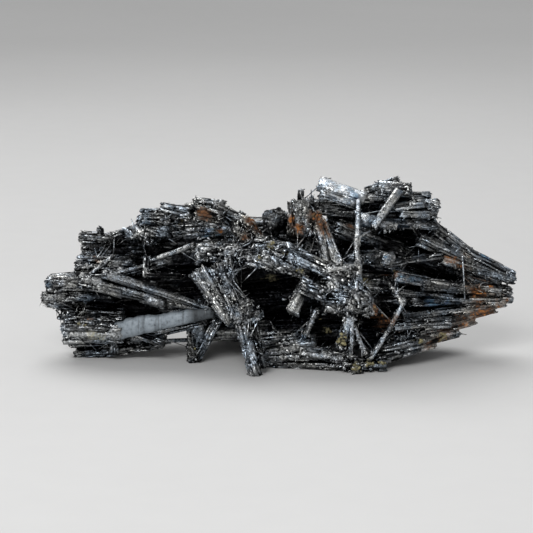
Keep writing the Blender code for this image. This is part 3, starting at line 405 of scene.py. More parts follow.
BLUE = [
    (-21, 5.5, 39, 2, 1), (-18, 6, 39.5, 2, 0.8), (-23, 5, 38.5, 2, 0.7),
    (22.5, -8.5, 51.5, 2.2, 0.9), (25, -13, 50, 2.5, 0.9), (24, -6.5, 52, 1.5, 0.9),
    (27, -13, 46.5, 2.5, 0.9), (25.5, -12.5, 44.5, 1.5, 0.8), (38, -8.5, 53.5, 2, 1),
    (39.5, -5.5, 52, 2, 0.9), (37, -9, 51.5, 1.5, 0.8), (33, -15.5, 34.5, 1.8, 0.9),
    (39, -11.5, 27, 3, 0.9), (41.5, -11, 26.5, 3, 0.9), (36.5, -9, 43.5, 1.8, 0.9),
    (48, -7.5, 18, 2.5, 0.9), (52, -6, 18.5, 2.5, 0.8), (65, 2, 32, 2, 0.9), (66, 2, 31, 1.5, 0.7),
    (63, 0, 33.5, 1.5, 0.9), (13, -5.5, 56, 1.5, 0.5), (-33.5, 2.5, 47.5, 2, 0.6),
    (-43, 1, 43.5, 2, 0.6), (-61, -6, 19.5, 2, 0.4), (-73, -4, 24.5, 1.5, 0.7),
    (-68.5, -9, 9, 2, 0.5), (-68.5, 0, 1.5, 2, 0.5), (22.5, -4.5, 54, 1.5, 0.8),
    (24, -19.5, 39.5, 1.5, 0.5), (48.5, 0, 50.5, 2, 0.5), (-10, 24, 34, 3, 0.7),
    (36, 20, 28, 3, 0.7), (-44, 18, 12, 3, 0.6),
]

# Where grains and needles lie thickest, or thinnest: centre, radius, how much more or less.
NESTS = [
    (-10, -8, 40, 9, 5), (-42, 0, 40, 8, 4), (-56, 0, 34, 7, 4), (-6, -14, 36, 8, 5),
    (20, -19, 25, 9, 6), (10, -12, 44, 7, 4), (-16, -16, 30, 9, 4), (-10, -19, 18, 7, 4),
    (24, -21, 6, 7, 4), (40, -12, 8, 8, 3), (30, -10, 18, 9, 4), (-66, 0, 12, 8, 3),
    (-25, -7, 5, 5, 4), (58, -2, 26, 7, 3), (45, -2, 40, 7, 3), (-6, 0, 44, 5, 4),
    (0, -14, 6, 9, 3), (-26, 4, 44, 8, 4), (34, 0, 54, 6, 5), (9, -6, 46, 6, 4),
    (-18, -17, 24, 8, 5), (-10, -22, 8, 7, 5), (-40, -12, 13, 9, -2), (-28, -14, 16, 6, -2),
    (-47, -10, 23, 8, -1), (-36, -13, 20, 8, -1), (20, -6, 54, 8, -1), (6.5, -19.5, 24.5, 6, -2),
]

# Fine needles too thin for the CAD solid: root, tip, width.
FINE_NEEDLES = [
    ((57, -8, 35), (58, -9, 20), 0.8), ((29.5, -13, 43.5), (23.5, -18, 41), 0.8),
    ((24, -18, 13), (29, -19, 6.5), 0.7),
]

BODY_STEP = 2.6           # how far apart the rings of a crystal's body are
SHORTEST_LATH = 0.6
SUNK = 2.0                # how deep the broken ends start inside a crystal
FLUTE = 0.22              # how deep the flutes of a needle are, as a share of its radius
SPOT_FADE = (1.6, 1.3)    # a spot's strength in its centre, held to 1, and its fall per radius
NEST_FADE = (1.3, 1)      # the same for a nest
GROUND = 0.4              # how thick grains and needles lie outside the nests
HOLLOW_SHADE = 0.92       # how much painted shade a full shade spot puts on the tone
HIGHLIGHT_LIFT = 0.6          # how much a full painted highlight lightens the tone
SIDE = 26                 # where the middle ends and the left or right piece begins
CLEARANCE = 0.02          # kept between the looks and the solid's bounding box
# At most so many are strewn: where a try lands outside the nests, often none is made.
SHORT_NEEDLES, LONG_NEEDLES, GRAINS = 3000, 700, 10000
BRIDGE_REACH = (2, 9)     # how far apart the ends of a long needle are
NODULE_GRAINS = 9         # how many grains a nodule of 1 mm radius has
NODULE_GRAIN = (0.4, 1.1)


def scattered(centre, spread, draw):
    """The point that lies at draw, from -1 to 1 each way, in the spread round a centre."""
    return tuple(c + s * d for c, s, d in zip(centre, spread, draw))


def draws_for(name):
    """The random draws of one crystal or sheaf, as the CAD solid makes them."""
    return random.Random(f"{SEED} {name}")


def grow_sheaf(sheaf):
    """The crystals of one sheaf, as the CAD solid has them."""
    rng = draws_for(sheaf.name)
    crystals = []
    for number in range(sheaf.count):
        draw = [rng.uniform(-1, 1) for _ in range(3)]
        drift = [SHEAF_HOLD * d + rng.uniform(-SHEAF_STRAY, SHEAF_STRAY) for d in draw]
        root_width = rng.uniform(*sheaf.width)
        crystals.append(Crystal(
            f"{sheaf.name}_{number}",
            scattered(sheaf.root, sheaf.root_spread, draw),
            scattered(sheaf.tip, sheaf.tip_spread, drift),
            root_width,
            root_width * rng.uniform(*SHEAF_TAPER),
            rng.uniform(*sheaf.thickness),
        ))
    return crystals


def crystal_axes(crystal):
    """Unit vectors along a crystal, across its width and through its thickness."""
    roll = draws_for(crystal.name).uniform(-ROLL, ROLL)
    along = (Vector(crystal.tip) - Vector(crystal.root)).normalized()
    across = along.cross(FRONT)
    if across.length < END_ON:
        across = along.cross(UP)
    across = Matrix.Rotation(roll, 3, along) @ across.normalized()
    return [np.array(axis) for axis in (along, across, across.cross(along))]


def style_of(name):
    for style, starts in STYLES:
        if name.startswith(tuple(starts.split())):
            return style
    return BLADE


def turned(count, start=0.0):
    """Angles evenly round a circle."""
    return np.arange(count) * 2 * math.pi / count + start


def ring_at(middle, local, side, out, along, lean):
    """A ring of points from places beside and above a middle, pushed along by its lean."""
    return middle + local[:, :1] * side + local[:, 1:] * out + lean * along


def distances(points, centre):
    return np.linalg.norm(points - np.array(centre), axis=1)


def nearness(points, centre, radius, fade):
    """From 1 near a centre down to 0 away from it."""
    full, fall = fade
    return np.clip(full - fall * distances(points, centre) / radius, 0, 1)


def spots_over(points, spots):
    """How strongly a list of spots marks each point, from 0 to 1."""
    strength = np.zeros(len(points))
    for *centre, radius, most in spots:
        strength = np.maximum(strength, most * nearness(points, centre, radius, SPOT_FADE))
    return strength


class Shaft:
    """One crystal's line from root to tip, with its axes and its size at any place."""

    def __init__(self, crystal):
        self.crystal = crystal
        self.along, self.across, self.through = crystal_axes(crystal)
        self.root, self.tip = np.array(crystal.root, float), np.array(crystal.tip, float)
        self.length = np.linalg.norm(self.tip - self.root)
        self.mean = (crystal.root_width + crystal.tip_width) / 2
        narrow = math.hypot((0.5 - FLAT) * self.mean, 0.5 * crystal.thickness)
        self.girth = 2 * (2 * FLAT * self.mean + 2 * narrow)

    def size_at(self, share):
        """Width and thickness at a share of the length."""
        width = self.crystal.root_width
        width = width + (self.crystal.tip_width - width) * share
        return width, self.crystal.thickness * width / self.mean

    def ring(self, share, local, lean=0.0):
        middle = self.root + (self.tip - self.root) * share
        return ring_at(middle, local, self.across, self.through, self.along, lean)


class Pile:
    """The points, faces, grain coordinates and marks of one piece, gathered prism by prism."""

    def __init__(self):
        self.points = []
        self.tones = []
        self.corners = []
        self.sizes = []
        self.grain = []
        self.count = 0

    def add_prism(self, rings, tone):
        """A closed prism through rings of points, shaped (rings, corners, 3), in millimetres."""
        rings = np.array(rings)
        turns, around = rings.shape[:2]
        spokes = rings[0] - rings[0].mean(axis=0)
        facing = np.cross(spokes, np.roll(spokes, -1, axis=0)).sum(axis=0)
        tones = np.broadcast_to(tone, (turns, around))
        if facing @ (rings[-1].mean(axis=0) - rings[0].mean(axis=0)) < 0:
            rings, tones = rings[:, ::-1], tones[:, ::-1]
        self.points.append(rings.reshape(-1, 3))
        self.tones.append(tones.ravel())

        index = self.count + np.arange(turns * around).reshape(turns, around)
        beside = np.roll(index, -1, axis=1)
        quads = np.stack([index[:-1], beside[:-1], beside[1:], index[1:]], axis=-1).reshape(-1, 4)
        self.corners += [quads.ravel(), index[0][::-1], index[-1]]
        self.sizes += [np.full(len(quads), 4), np.array([around, around])]
        self.count += turns * around

        sides = np.linalg.norm(np.roll(rings, -1, axis=1) - rings, axis=2).mean(axis=0)
        steps = np.linalg.norm(np.diff(rings.mean(axis=1), axis=0), axis=1)
        girth = np.concatenate([[0.0], np.cumsum(sides)])
        height = np.concatenate([[0.0], np.cumsum(steps)])
        left, low = np.meshgrid(girth[:-1], height[:-1])
        right, high = np.meshgrid(girth[1:], height[1:])
        around_quads = [left, low, right, low, right, high, left, high]
        middle = rings[[0, -1]].mean(axis=1, keepdims=True)
        ends = (rings[[0, -1]] - middle)[:, :, [0, 2]]
        self.grain += [np.stack(around_quads, axis=-1).reshape(-1, 2), ends[0][::-1], ends[1]]

    def build(self, name, low, high):
        """The mesh object of this pile, kept inside the box from low to high."""
        points = np.clip(np.concatenate(self.points), low, high)
        corners = np.concatenate(self.corners).astype(np.int32)
        sizes = np.concatenate(self.sizes).astype(np.int32)
        starts = np.concatenate([[0], np.cumsum(sizes)[:-1]]).astype(np.int32)
        mesh = bpy.data.meshes.new(name)
        mesh.vertices.add(len(points))
        mesh.vertices.foreach_set("co", (points * MM).astype(np.float32).ravel())
        mesh.loops.add(len(corners))
        mesh.loops.foreach_set("vertex_index", corners)
        mesh.polygons.add(len(sizes))
        mesh.polygons.foreach_set("loop_start", starts)
        mesh.update(calc_edges=True)
        grain = mesh.uv_layers.new(name="grain")
        grain.data.foreach_set("uv", np.concatenate(self.grain).astype(np.float32).ravel())
        # Painted shade darkens the tone in the shade spots, and painted highlights lighten it in
        # the highlight spots.
        tones = np.concatenate(self.tones) * (1 - HOLLOW_SHADE * spots_over(points, SHADE_SPOTS))
        tones = tones * (1 + HIGHLIGHT_LIFT * spots_over(points, HIGHLIGHT_SPOTS))
        channels = [spots_over(points, spots) for spots in (RUST, OCHRE, BLUE)] + [tones]
        marks = mesh.attributes.new("marks", "FLOAT_COLOR", "POINT")
        marks.data.foreach_set("color", np.stack(channels, axis=-1).astype(np.float32).ravel())
        mesh.validate()
        return link(name, mesh)


def link(name, data):
    """An object with this data, put in the scene."""
    thing = bpy.data.objects.new(name, data)
    bpy.context.scene.collection.objects.link(thing)
    return thing


def outline_at(place, width, thickness):
    """The point and the outward direction at a place, from 0 to 1, round a crystal's outline."""
    corners = np.array(SECTION) * (width, thickness)
    sides = np.roll(corners, -1, axis=0) - corners
    lengths = np.linalg.norm(sides, axis=1)
    ends = np.cumsum(lengths)
    reach = place * ends[-1]
    number = min(int(np.searchsorted(ends, reach)), len(sides) - 1)
    share = 1 - (ends[number] - reach) / lengths[number]
    side = sides[number] / lengths[number]
    return corners[number] + sides[number] * share, np.array([side[1], -side[0]])


def add_body(pile, rng, shaft, style):
    """The body of a crystal: grooves and ridges run along it, each with its own tone."""
    around = max(10, round(shaft.girth / style.groove))
    turns = max(2, min(12, round(shaft.length / BODY_STEP)))
    depth = rng.uniform(-1.0, 0.25, around) * style.relief
    tones = rng.uniform(style.dark, style.light, around) * rng.uniform(0.45, 1.0)
    rings = []
    shades = []
    for number in range(turns + 1):
        share = number / turns
        width, thickness = shaft.size_at(share)
        depth = depth + rng.normal(0, style.wander, around)
        depth = np.clip(depth, -1.6 * style.relief, 0.3 * style.relief)
        back = 0.0
        if number in (0, turns):
            inward = 1 if number == 0 else -1
            back = inward * rng.uniform(-0.1, 0.5, (around, 1)) * style.ragged
        outline = np.array([outline_at(place / around, width, thickness)
                            for place in range(around)])
        local = outline[:, 0] + outline[:, 1] * depth[:, None]
        rings.append(shaft.ring(share, local, back))
        shades.append(tones * rng.uniform(0.7, 1.2, around))
    pile.add_prism(rings, np.array(shades))


def add_strip(pile, rng, root, tip, side, out, half_width, half_depth, tone, wander=0):
    """One thin lath of a skin: flat outside with a ridge, with broken ends."""
    along = (tip - root) / np.linalg.norm(tip - root)
    ridge = rng.uniform(-0.5, 0.5)
    section = np.array([
        (1, -0.6), (0.85, 0.5), (ridge, 1.0), (-0.85, 0.4), (-1, -0.6), (0, -1),
    ]) * (half_width, half_depth)
    rings = []
    places = (0, rng.uniform(0.3, 0.7), 1) if wander else (0, 1)
    for place in places:
        local, lean = section, 0.0
        if place in (0, 1):
            lean = (section @ rng.uniform(-1.2, 1.2, 2))[:, None]
        else:
            local = section + rng.uniform(-1, 1, 2) * wander
        rings.append(ring_at(root + (tip - root) * place, local, side, out, along, lean))
    pile.add_prism(rings, tone)


def add_skin(pile, rng, shaft, style):
    """Thin laths side by side all round a crystal, some sunk, some proud, some missing."""
    count = max(6, round(shaft.girth / style.groove))
    own = rng.uniform(0.0, 0.25)
    for number in range(count):
        place = (number + rng.uniform(-0.3, 0.3)) / count % 1.0
        cursor = rng.uniform(-0.2, 1.0) * style.ragged * 0.6
        stop = shaft.length - rng.uniform(-0.2, 1.0) * style.ragged * 0.6
        while cursor < stop - SHORTEST_LATH:
            end = min(stop, cursor + rng.uniform(style.short, style.long))
            begin, cursor = cursor, end + rng.uniform(-0.5, 0.3)
            if rng.random() > style.laths:
                continue
            relief = rng.uniform(-0.7, 0.5) * style.relief
            points = []
            for at in (begin, end):
                turn = (place + rng.uniform(-1, 1) * style.splay / shaft.girth) % 1.0
                on, out = outline_at(turn, *shaft.size_at(at / shaft.length))
                on = on + out * (relief + rng.uniform(-1, 1) * 0.12 * style.splay)
                points.append(shaft.root + shaft.along * at + on[0] * shaft.across
                              + on[1] * shaft.through)
            outward = out[0] * shaft.across + out[1] * shaft.through
            sideways = -out[1] * shaft.across + out[0] * shaft.through
            tone = max(0.02, rng.uniform(style.dark, style.light) - own)
            add_strip(pile, rng, *points, sideways, outward, style.groove * rng.uniform(0.4, 0.8),
                      rng.uniform(0.22, 0.42), tone, 0.10 if end - begin > 3 else 0)


def add_bristle(pile, rng, shaft, style):
    """Broken ends of laths that fill both ends of a crystal."""
    for point, share, outward in ((shaft.root, 0, -shaft.along), (shaft.tip, 1, shaft.along)):
        width, thickness = shaft.size_at(share)
        for _ in range(int(width * thickness * 0.9)):
            a, t = rng.uniform(-0.46, 0.46, 2)
            room = np.clip((0.5 - abs(a)) / (0.5 - FLAT), 0.15, 1)
            base = (point + a * width * shaft.across + t * room * thickness * shaft.through
                    - outward * SUNK)
            reach = SUNK + rng.uniform(-0.8, 0.1) * style.ragged * 0.8
            if reach < 0.7:
                continue
            tip = base + outward * reach + rng.uniform(-1, 1, 3) * 0.12 * style.splay
            add_strip(pile, rng, base, tip, shaft.across, shaft.through, rng.uniform(0.25, 0.6),
                      rng.uniform(0.2, 0.5), rng.uniform(style.dark, style.light))


def add_fluted(pile, rng, shaft, style):
    """A needle or a prism in one piece, with flutes along it and leaning ends."""
    around = 12
    turn = turned(around)
    depth = 1 - np.where(np.arange(around) % 2, FLUTE, 0.0) * rng.uniform(0.5, 1.3, around)
    section = np.stack([np.cos(turn), np.sin(turn)], axis=-1) * depth[:, None] * 0.5
    rings = []
    for place in (0, 0.3, 0.65, 1):
        local = section * shaft.size_at(place) * rng.uniform(0.9, 1.05)
        lean = 0.0
        if place in (0, 1):
            lean = (local @ rng.uniform(-0.6, 0.6, 2))[:, None]
        else:
            local = local + rng.uniform(-0.08, 0.08, 2)
        rings.append(shaft.ring(place, local, lean))
    pile.add_prism(rings, rng.uniform(style.dark, style.light, (1, around)))


def add_crystal(pile, crystal):
    """One crystal of the CAD solid: its grooved body, laths along it and its broken ends."""
    shaft = Shaft(crystal)
    rng = np.random.default_rng(sum(map(ord, crystal.name)) * 131 + SEED)
    style = style_of(crystal.name)
    if style.laths == 0:
        add_fluted(pile, rng, shaft, style)
        return
    add_body(pile, rng, shaft, style)
    add_skin(pile, rng, shaft, style)
    if style is not SHADED_CORE:
        add_bristle(pile, rng, shaft, style)


def add_cleavage(pile, crystal):
    """The big cleaved blade: smooth flat faces, and upper and lower edges that wander a little."""
    shaft = Shaft(crystal)
    rng = np.random.default_rng(SEED)
    half = crystal.thickness * 0.5
    steps = 26
    rings = []
    for number in range(steps + 1):
        share = number / steps
        width = shaft.size_at(share)[0]
        drop = 0.2 * max(0.0, 1 - share / 0.5)
        top = -width * (0.5 - drop + 0.05 * math.sin(share * 9) + rng.uniform(-0.05, 0.05))
        low = width * (0.5 + rng.uniform(-0.02, 0.02))
        kink = rng.uniform(-0.03, 0.03)
        rings.append(shaft.ring(share, np.array([
            (top, 0.0), (top + 0.3, half - 0.4 + kink), (top * 0.3, half + kink),
            (low * 0.5, half + kink), (low - 0.3, half - 0.35 + kink), (low, 0.0),
            (low - 0.6, -half), (top + 0.6, -half),
        ])))
    shades = 1 - 0.75 * np.clip((np.linspace(0, 1, steps + 1) - 0.72) / 0.08, 0, 1)
    pile.add_prism(rings, shades[:, None])


def add_needle(pile, rng, root, tip, width, tone, corners=5):
    """One straight needle with a few flat sides."""
    along = (tip - root) / np.linalg.norm(tip - root)
    side = np.cross(along, rng.normal(size=3))
    side /= np.linalg.norm(side)
    turn = turned(corners)[:, None]
    ring = np.cos(turn) * side + 0.6 * np.sin(turn) * np.cross(along, side)
    ends = []
    for point, scale in ((root, 0.5), (tip, 0.5 * rng.uniform(0.5, 1.0))):
        lean = (ring @ rng.normal(size=3))[:, None] * along * 0.6
        ends.append(point + (ring + lean) * width * scale)
    pile.add_prism(ends, tone)


def add_grain(pile, rng, centre, size, tone, long):
    """One small block, a little crooked, with flat faces."""
    axes = np.linalg.qr(rng.normal(size=(3, 3)))[0]
    corners = 4
    turn = turned(corners, rng.uniform(-0.4, 0.4, corners))[:, None]
    rings = []
    for height, scale in ((-0.5, 1.0), (0.5, 0.65)):
        reach = (0.5 * size * scale * rng.uniform(0.8, 1.2, corners))[:, None]
        rings.append(centre + np.cos(turn) * reach * axes[0] + np.sin(turn) * reach * axes[1]
                     + height * long * size * axes[2])
    pile.add_prism(rings, tone)


class Surface:
    """Random points on the CAD solid."""

    def __init__(self, node, rng):
        mesh = node.data
        mesh.calc_loop_triangles()
        co = np.empty(len(mesh.vertices) * 3, np.float32)
        mesh.vertices.foreach_get("co", co)
        tri = np.empty(len(mesh.loop_triangles) * 3, np.int32)
        mesh.loop_triangles.foreach_get("vertices", tri)
        self.tri = (co.reshape(-1, 3) / MM)[tri.reshape(-1, 3)].astype(float)
        cross = np.cross(self.tri[:, 1] - self.tri[:, 0], self.tri[:, 2] - self.tri[:, 0])
        self.area = np.linalg.norm(cross, axis=1) / 2
        self.normal = cross / np.maximum(2 * self.area, 1e-9)[:, None]
        self.rng = rng

    def sample(self, count):
        """Points and outward directions, spread evenly over the area."""
        pick = self.rng.choice(len(self.tri), count, p=self.area / self.area.sum())
        a, b = self.rng.random((2, count, 1))
        flip = a + b > 1
        a, b = np.where(flip, 1 - a, a), np.where(flip, 1 - b, b)
        first, second, third = self.tri[pick].transpose(1, 0, 2)
        return first + a * (second - first) + b * (third - first), self.normal[pick]

    def strewn(self, count):
        """Points and outward directions, thicker in the nests."""
        points, normals = self.sample(count * 8)
        weight = np.full(len(points), GROUND)
        for *centre, radius, times in NESTS:
            weight += times * nearness(points, centre, radius, NEST_FADE)
        keep = self.rng.random(len(points)) < weight.clip(0) / weight.max()
        return points[keep][:count], normals[keep][:count]


def strew_needles(pile, surface, rng):
    """Short needles that lie on the crystals, each tilted up a little."""
    for point, normal in zip(*surface.strewn(SHORT_NEEDLES)):
        flat = np.cross(normal, rng.normal(size=3))
        flat /= np.linalg.norm(flat) + 1e-9
        reach = rng.uniform(0.6, 3.0)
        rise = rng.uniform(-0.3, 1.0) ** 2 * 0.45
        tip = point + flat * reach + normal * rise
        add_needle(pile, rng, point - normal * 0.4, tip, rng.uniform(0.3, 0.7),
                   rng.uniform(0.2, 1.1), 4)


def bridge_needles(pile, surface, rng):
    """Needles that cross the open spaces, with both ends on a crystal."""
    points, normals = surface.strewn(4500)
    nearest, furthest = BRIDGE_REACH
    for _ in range(LONG_NEEDLES):
        first = rng.integers(len(points))
        gap = points - points[first]
        distance = distances(points, points[first])
        ahead = (gap @ normals[first]) > 0.25 * distance
        facing = np.einsum("ij,ij->i", gap, normals) < -0.15 * distance
        near = np.flatnonzero((distance > nearest) & (distance < furthest) & ahead & facing)
        if len(near) == 0:
            continue
        other = rng.choice(near)
        past = gap[other] * 0.05
        add_needle(pile, rng, points[first] - past, points[other] + past,
                   rng.uniform(0.2, 0.5), rng.uniform(0.25, 1.0))


def strew_grains(pile, surface, rng):
    """Small blocky grains half sunk in the crystals' faces."""
    for point, normal in zip(*surface.strewn(GRAINS)):
        size = 0.5 + 0.9 * rng.random() ** 2
        add_grain(pile, rng, point - normal * 0.25, size, rng.uniform(0.05, 1.15),
                  rng.uniform(0.8, 1.9))


def crust_nodules(pile, surface, rng):
    """Rounded crust grains on the surface inside each nodule spot."""
    points, normals = surface.sample(90000)
    for *centre, radius, most in NODULES:
        near = np.flatnonzero(distances(points, centre) < radius * 0.9)
        if len(near) == 0:
            continue
        count = min(len(near), int(NODULE_GRAINS * radius * radius * most))
        for index in rng.choice(near, count):
            size = rng.uniform(*NODULE_GRAIN)
            add_grain(pile, rng, points[index] + normals[index] * size * 0.15, size,
                      rng.uniform(0.2, 1.0), rng.uniform(0.7, 1.1))


class Wire:
    """A node's output. Adding, taking away and multiplying each add one math node."""

    def __init__(self, nodes, socket):
        self.nodes, self.socket = nodes, socket

    def math(self, operation, first, second, **settings):
        return self.nodes.add("Math", {0: first, 1: second}, operation=operation, **settings)

    def __add__(self, other):
        return self.math("ADD", self, other)

    def __sub__(self, other):
        return self.math("SUBTRACT", self, other)

    def __mul__(self, other):
        return self.math("MULTIPLY", self, other)

    def clamped(self):
        """This wire, with its math node held between 0 and 1."""
        self.socket.node.use_clamp = True
        return self


class Nodes:
    """One material's nodes. Each method adds one node and gives the wire out of it."""

    def __init__(self, name):
        self.material = bpy.data.materials.new(name)
        self.material.use_nodes = True
        self.tree = self.material.node_tree
        self.tree.nodes.clear()

    def make(self, kind, inputs=None, **settings):
        """A node with its settings. A wire is linked to its input, a plain value is set."""
        node = self.tree.nodes.new("ShaderNode" + kind)
        for key, value in settings.items():
            setattr(node, key, value)
        for key, value in (inputs or {}).items():
            if isinstance(value, Wire):
                self.tree.links.new(value.socket, node.inputs[key])
            else:
                node.inputs[key].default_value = value
        return node

    def add(self, kind, inputs=None, out=0, **settings):
        return Wire(self, self.make(kind, inputs, **settings).outputs[out])

    def place(self):
        return self.add("TexCoord", out="Object")

    def marks(self):
        """The rust, ochre and blue marks and the tone."""
        node = self.make("Attribute", attribute_name="marks")
        return *self.channels(Wire(self, node.outputs["Color"])), Wire(self, node.outputs["Alpha"])

    def channels(self, colour):
        node = self.make("SeparateColor", {0: colour})
        return [Wire(self, socket) for socket in node.outputs]

    def noise(self, at, scale, detail, roughness=0.5):
        inputs = {"Vector": at, "Scale": scale, "Detail": detail, "Roughness": roughness}
        return self.add("TexNoise", inputs, "Fac")

    def vector(self, operation, inputs, out=0):
        return self.add("VectorMath", inputs, out, operation=operation)

    def ramp(self, value, *stops):
        """A colour ramp over a value, from places and colours."""
        node = self.make("ValToRGB", {"Fac": value})
        stops = [(place, grey(shade) if isinstance(shade, float) else (*shade, 1.0))
                 for place, shade in stops]
        ends = node.color_ramp.elements
        ends[0].position, ends[0].color = stops[0]
        ends[1].position, ends[1].color = stops[-1]
        for place, shade in stops[1:-1]:
            ends.new(place).color = shade
        return Wire(self, node.outputs["Color"])

    def mix(self, factor, first, second, blend="MIX"):
        inputs = {0: factor, 6: first, 7: second}
        return self.add("Mix", inputs, 2, data_type="RGBA", blend_type=blend)

    def times(self, first, second):
        """One colour multiplied by another."""
        return self.mix(1.0, first, second, "MULTIPLY")

    def bump(self, height, strength, distance, **inputs):
        inputs.update(Height=height, Strength=strength, Distance=distance)
        return self.add("Bump", inputs)

    def surface(self, **inputs):
        """The finished material, from the shader's inputs."""
        inputs = {key.replace("_", " "): value for key, value in inputs.items()}
        self.make("OutputMaterial", {0: self.add("BsdfPrincipled", inputs)})
        return self.material


def grey(value):
    return (value, value, value, 1.0)


def stibnite_material():
    """Lead-grey metal with grooves along the grain, blue tarnish, rust and ochre stains, and
    painted shade in its crevices.
    """
    nodes = Nodes("stibnite_metal")
    ramp, mix = nodes.ramp, nodes.mix
    rust_mark, ochre_mark, blue_mark, tone = nodes.marks()
    place = nodes.place()
    grain = nodes.add("UVMap", out="UV", uv_map="grain")
    grain = nodes.add("Mapping", {"Vector": grain, "Scale": (3.2, 0.16, 1.0)})
    own = nodes.add("CombineXYZ", {2: tone * 40.0})  # so that no two prisms' grooves are alike
    groove = nodes.noise(nodes.vector("ADD", {0: grain, 1: own}), 1.0, 5.0, 0.65)
    patches = nodes.noise(place, 260.0, 4.0, 0.6)
    specks = nodes.noise(place, 1500.0, 3.0, 0.6)
    facets = nodes.add("TexVoronoi", {"Vector": place, "Scale": 1900.0}, "Color")

    # The metal: lighter and darker by its tone, its grooves and its facets.
    cloud = patches * ((tone * 5.0).clamped() * 0.35)
    light = (tone * 0.55 + cloud) * ramp(groove, (0.30, 0.50), (0.62, 1.15))
    light = light * (nodes.channels(facets)[0] * 1.1 + 0.48)
    metal = ramp(light, (0.06, (0.010, 0.010, 0.011)), (0.30, (0.17, 0.174, 0.178)),
                 (0.62, (0.52, 0.53, 0.54)), (1.0, (0.94, 0.95, 0.96)))
    tint = ramp(nodes.noise(place, 140.0, 5.0, 0.7), (0.40, (0.85, 0.965, 1.09)),
                (0.50, (0.98, 1.0, 1.01)), (0.62, (1.01, 1.0, 0.95)))
    metal = nodes.times(metal, tint)
    blue = ramp(specks, (0.35, (0.04, 0.07, 0.17)), (0.65, (0.13, 0.27, 0.37)))
    metal = mix(blue_mark * ramp(patches, (0.40, 0.0), (0.60, 1.0)), metal, blue)

    # Stains, broken up by the noise at their edges.
    edge = patches * 0.9 + specks * 0.5
    rust_amount = ((rust_mark + edge - 1.12) * 2.4).clamped()
    rust = ramp(patches * 0.6 + specks * 0.4, (0.38, (0.018, 0.009, 0.006)),
                (0.52, (0.10, 0.040, 0.014)), (0.66, (0.52, 0.20, 0.045)))
    ochre_amount = ((ochre_mark + edge - 1.22) * 2.4).clamped()
    ochre = ramp(specks, (0.35, (0.055, 0.050, 0.032)), (0.65, (0.38, 0.35, 0.20)))
    warm = nodes.times(metal, (1.06, 0.94, 0.78, 1))
    metal = mix((rust_mark * 0.8).clamped(), metal, warm)
    colour = mix(ochre_amount, mix(rust_amount, metal, rust), ochre)
    # Painted shade: the colour falls to black in crevices, where ambient occlusion finds other
    # crystals close by.
    crevice_shade = nodes.add("AmbientOcclusion", {"Distance": 0.006}, "AO", samples=8)
    colour = nodes.times(colour, ramp(crevice_shade, (0.18, 0.0), (0.66, 1.0)))

    # Stains are dull, and every facet's normal swings its own way.
    stain = rust_amount.math("MAXIMUM", rust_amount, ochre_amount)
    shine = stain.math("SUBTRACT", 1.0, stain).clamped()
    rough = nodes.add("MapRange", {0: patches, 1: 0.35, 2: 0.65, 3: 0.16, 4: 0.40})
    swing = nodes.vector("SUBTRACT", {0: facets, 1: (0.5, 0.5, 0.5)})
    swing = nodes.vector("SCALE", {0: swing, 3: 0.70})
    normal = nodes.vector("ADD", {0: nodes.add("NewGeometry", out="Normal"), 1: swing})
    normal = nodes.vector("NORMALIZE", {0: normal})
    normal = nodes.bump(groove, 0.8, 0.00014, Normal=normal)
    normal = nodes.bump(specks, 0.5, 0.00012, Normal=normal)
    return nodes.surface(Base_Color=colour, Metallic=shine, Normal=normal,
                         Roughness=(rough + stain * 0.5).clamped())


def cleavage_material():
    """The cleaved blade's smooth blue-grey face, with faint kinks across it."""
    nodes = Nodes("cleaved_stibnite")
    place = nodes.place()
    across = nodes.add("Mapping", {
        "Vector": place, "Rotation": (0, math.radians(12), 0), "Scale": (900, 120, 60)})
    kinks = nodes.noise(across, 1.0, 3.0, 0.6)
    cloud = nodes.noise(place, 900.0, 5.0, 0.7)
    colour = nodes.ramp(cloud, (0.32, (0.09, 0.10, 0.115)), (0.44, (0.215, 0.25, 0.28)),
                        (0.66, (0.30, 0.34, 0.375)))
    colour = nodes.times(colour, nodes.ramp(kinks, (0.36, 0.60), (0.44, 1.0)))
    colour = nodes.times(colour, nodes.ramp(nodes.marks()[-1], (0.0, 0.0), (1.0, 1.0)))
    normal = nodes.bump(cloud, 0.2, 0.00008, Normal=nodes.bump(kinks, 0.4, 0.00012))
    return nodes.surface(Base_Color=colour, Metallic=0.4, Roughness=0.6, Normal=normal)


def crust_material():
    """Dull mineral crust: rust red to orange, or olive yellow where ochre is marked."""
    nodes = Nodes("mineral_crust")
    rust_mark, ochre_mark, _, tone = nodes.marks()
    specks = nodes.noise(nodes.place(), 1400.0, 4.0, 0.65)
    tone = (specks + tone) * 0.5
    rust = nodes.ramp(tone, (0.20, (0.020, 0.010, 0.007)), (0.50, (0.11, 0.036, 0.012)),
                      (0.85, (0.34, 0.12, 0.03)))
    ochre = nodes.ramp(tone, (0.20, (0.06, 0.054, 0.035)), (0.50, (0.22, 0.195, 0.10)),
                       (0.85, (0.42, 0.385, 0.22)))
    which = ((ochre_mark - rust_mark) * 3.0 + 0.5).clamped()
    return nodes.surface(Base_Color=nodes.mix(which, rust, ochre), Roughness=0.8,
                         Normal=nodes.bump(specks, 0.5, 0.00015))


def paper_material():
    """The pale matt sheet that the spray lies on, darkened with painted shade away from the spray.
    """
    nodes = Nodes("pale_paper")
    place = nodes.place()
    shade = nodes.noise(place, 2.5, 3.0) * 0.8 + nodes.noise(place, 90.0, 3.0) * 0.2
    colour = nodes.ramp(shade, (0.35, (0.615, 0.615, 0.61)), (0.65, (0.65, 0.65, 0.645)))
    # Painted shade: the sheet grows darker with distance from the spray, as the light falls off.
    away = nodes.vector("LENGTH", {0: place}, "Value")
    painted_falloff = nodes.ramp(away.math("DIVIDE", away, 2.0), (0.05, 1.0), (0.12, 0.97),
                         (0.46, 0.80), (1.0, 0.72))
    return nodes.surface(Base_Color=nodes.times(colour, painted_falloff), Roughness=0.9)


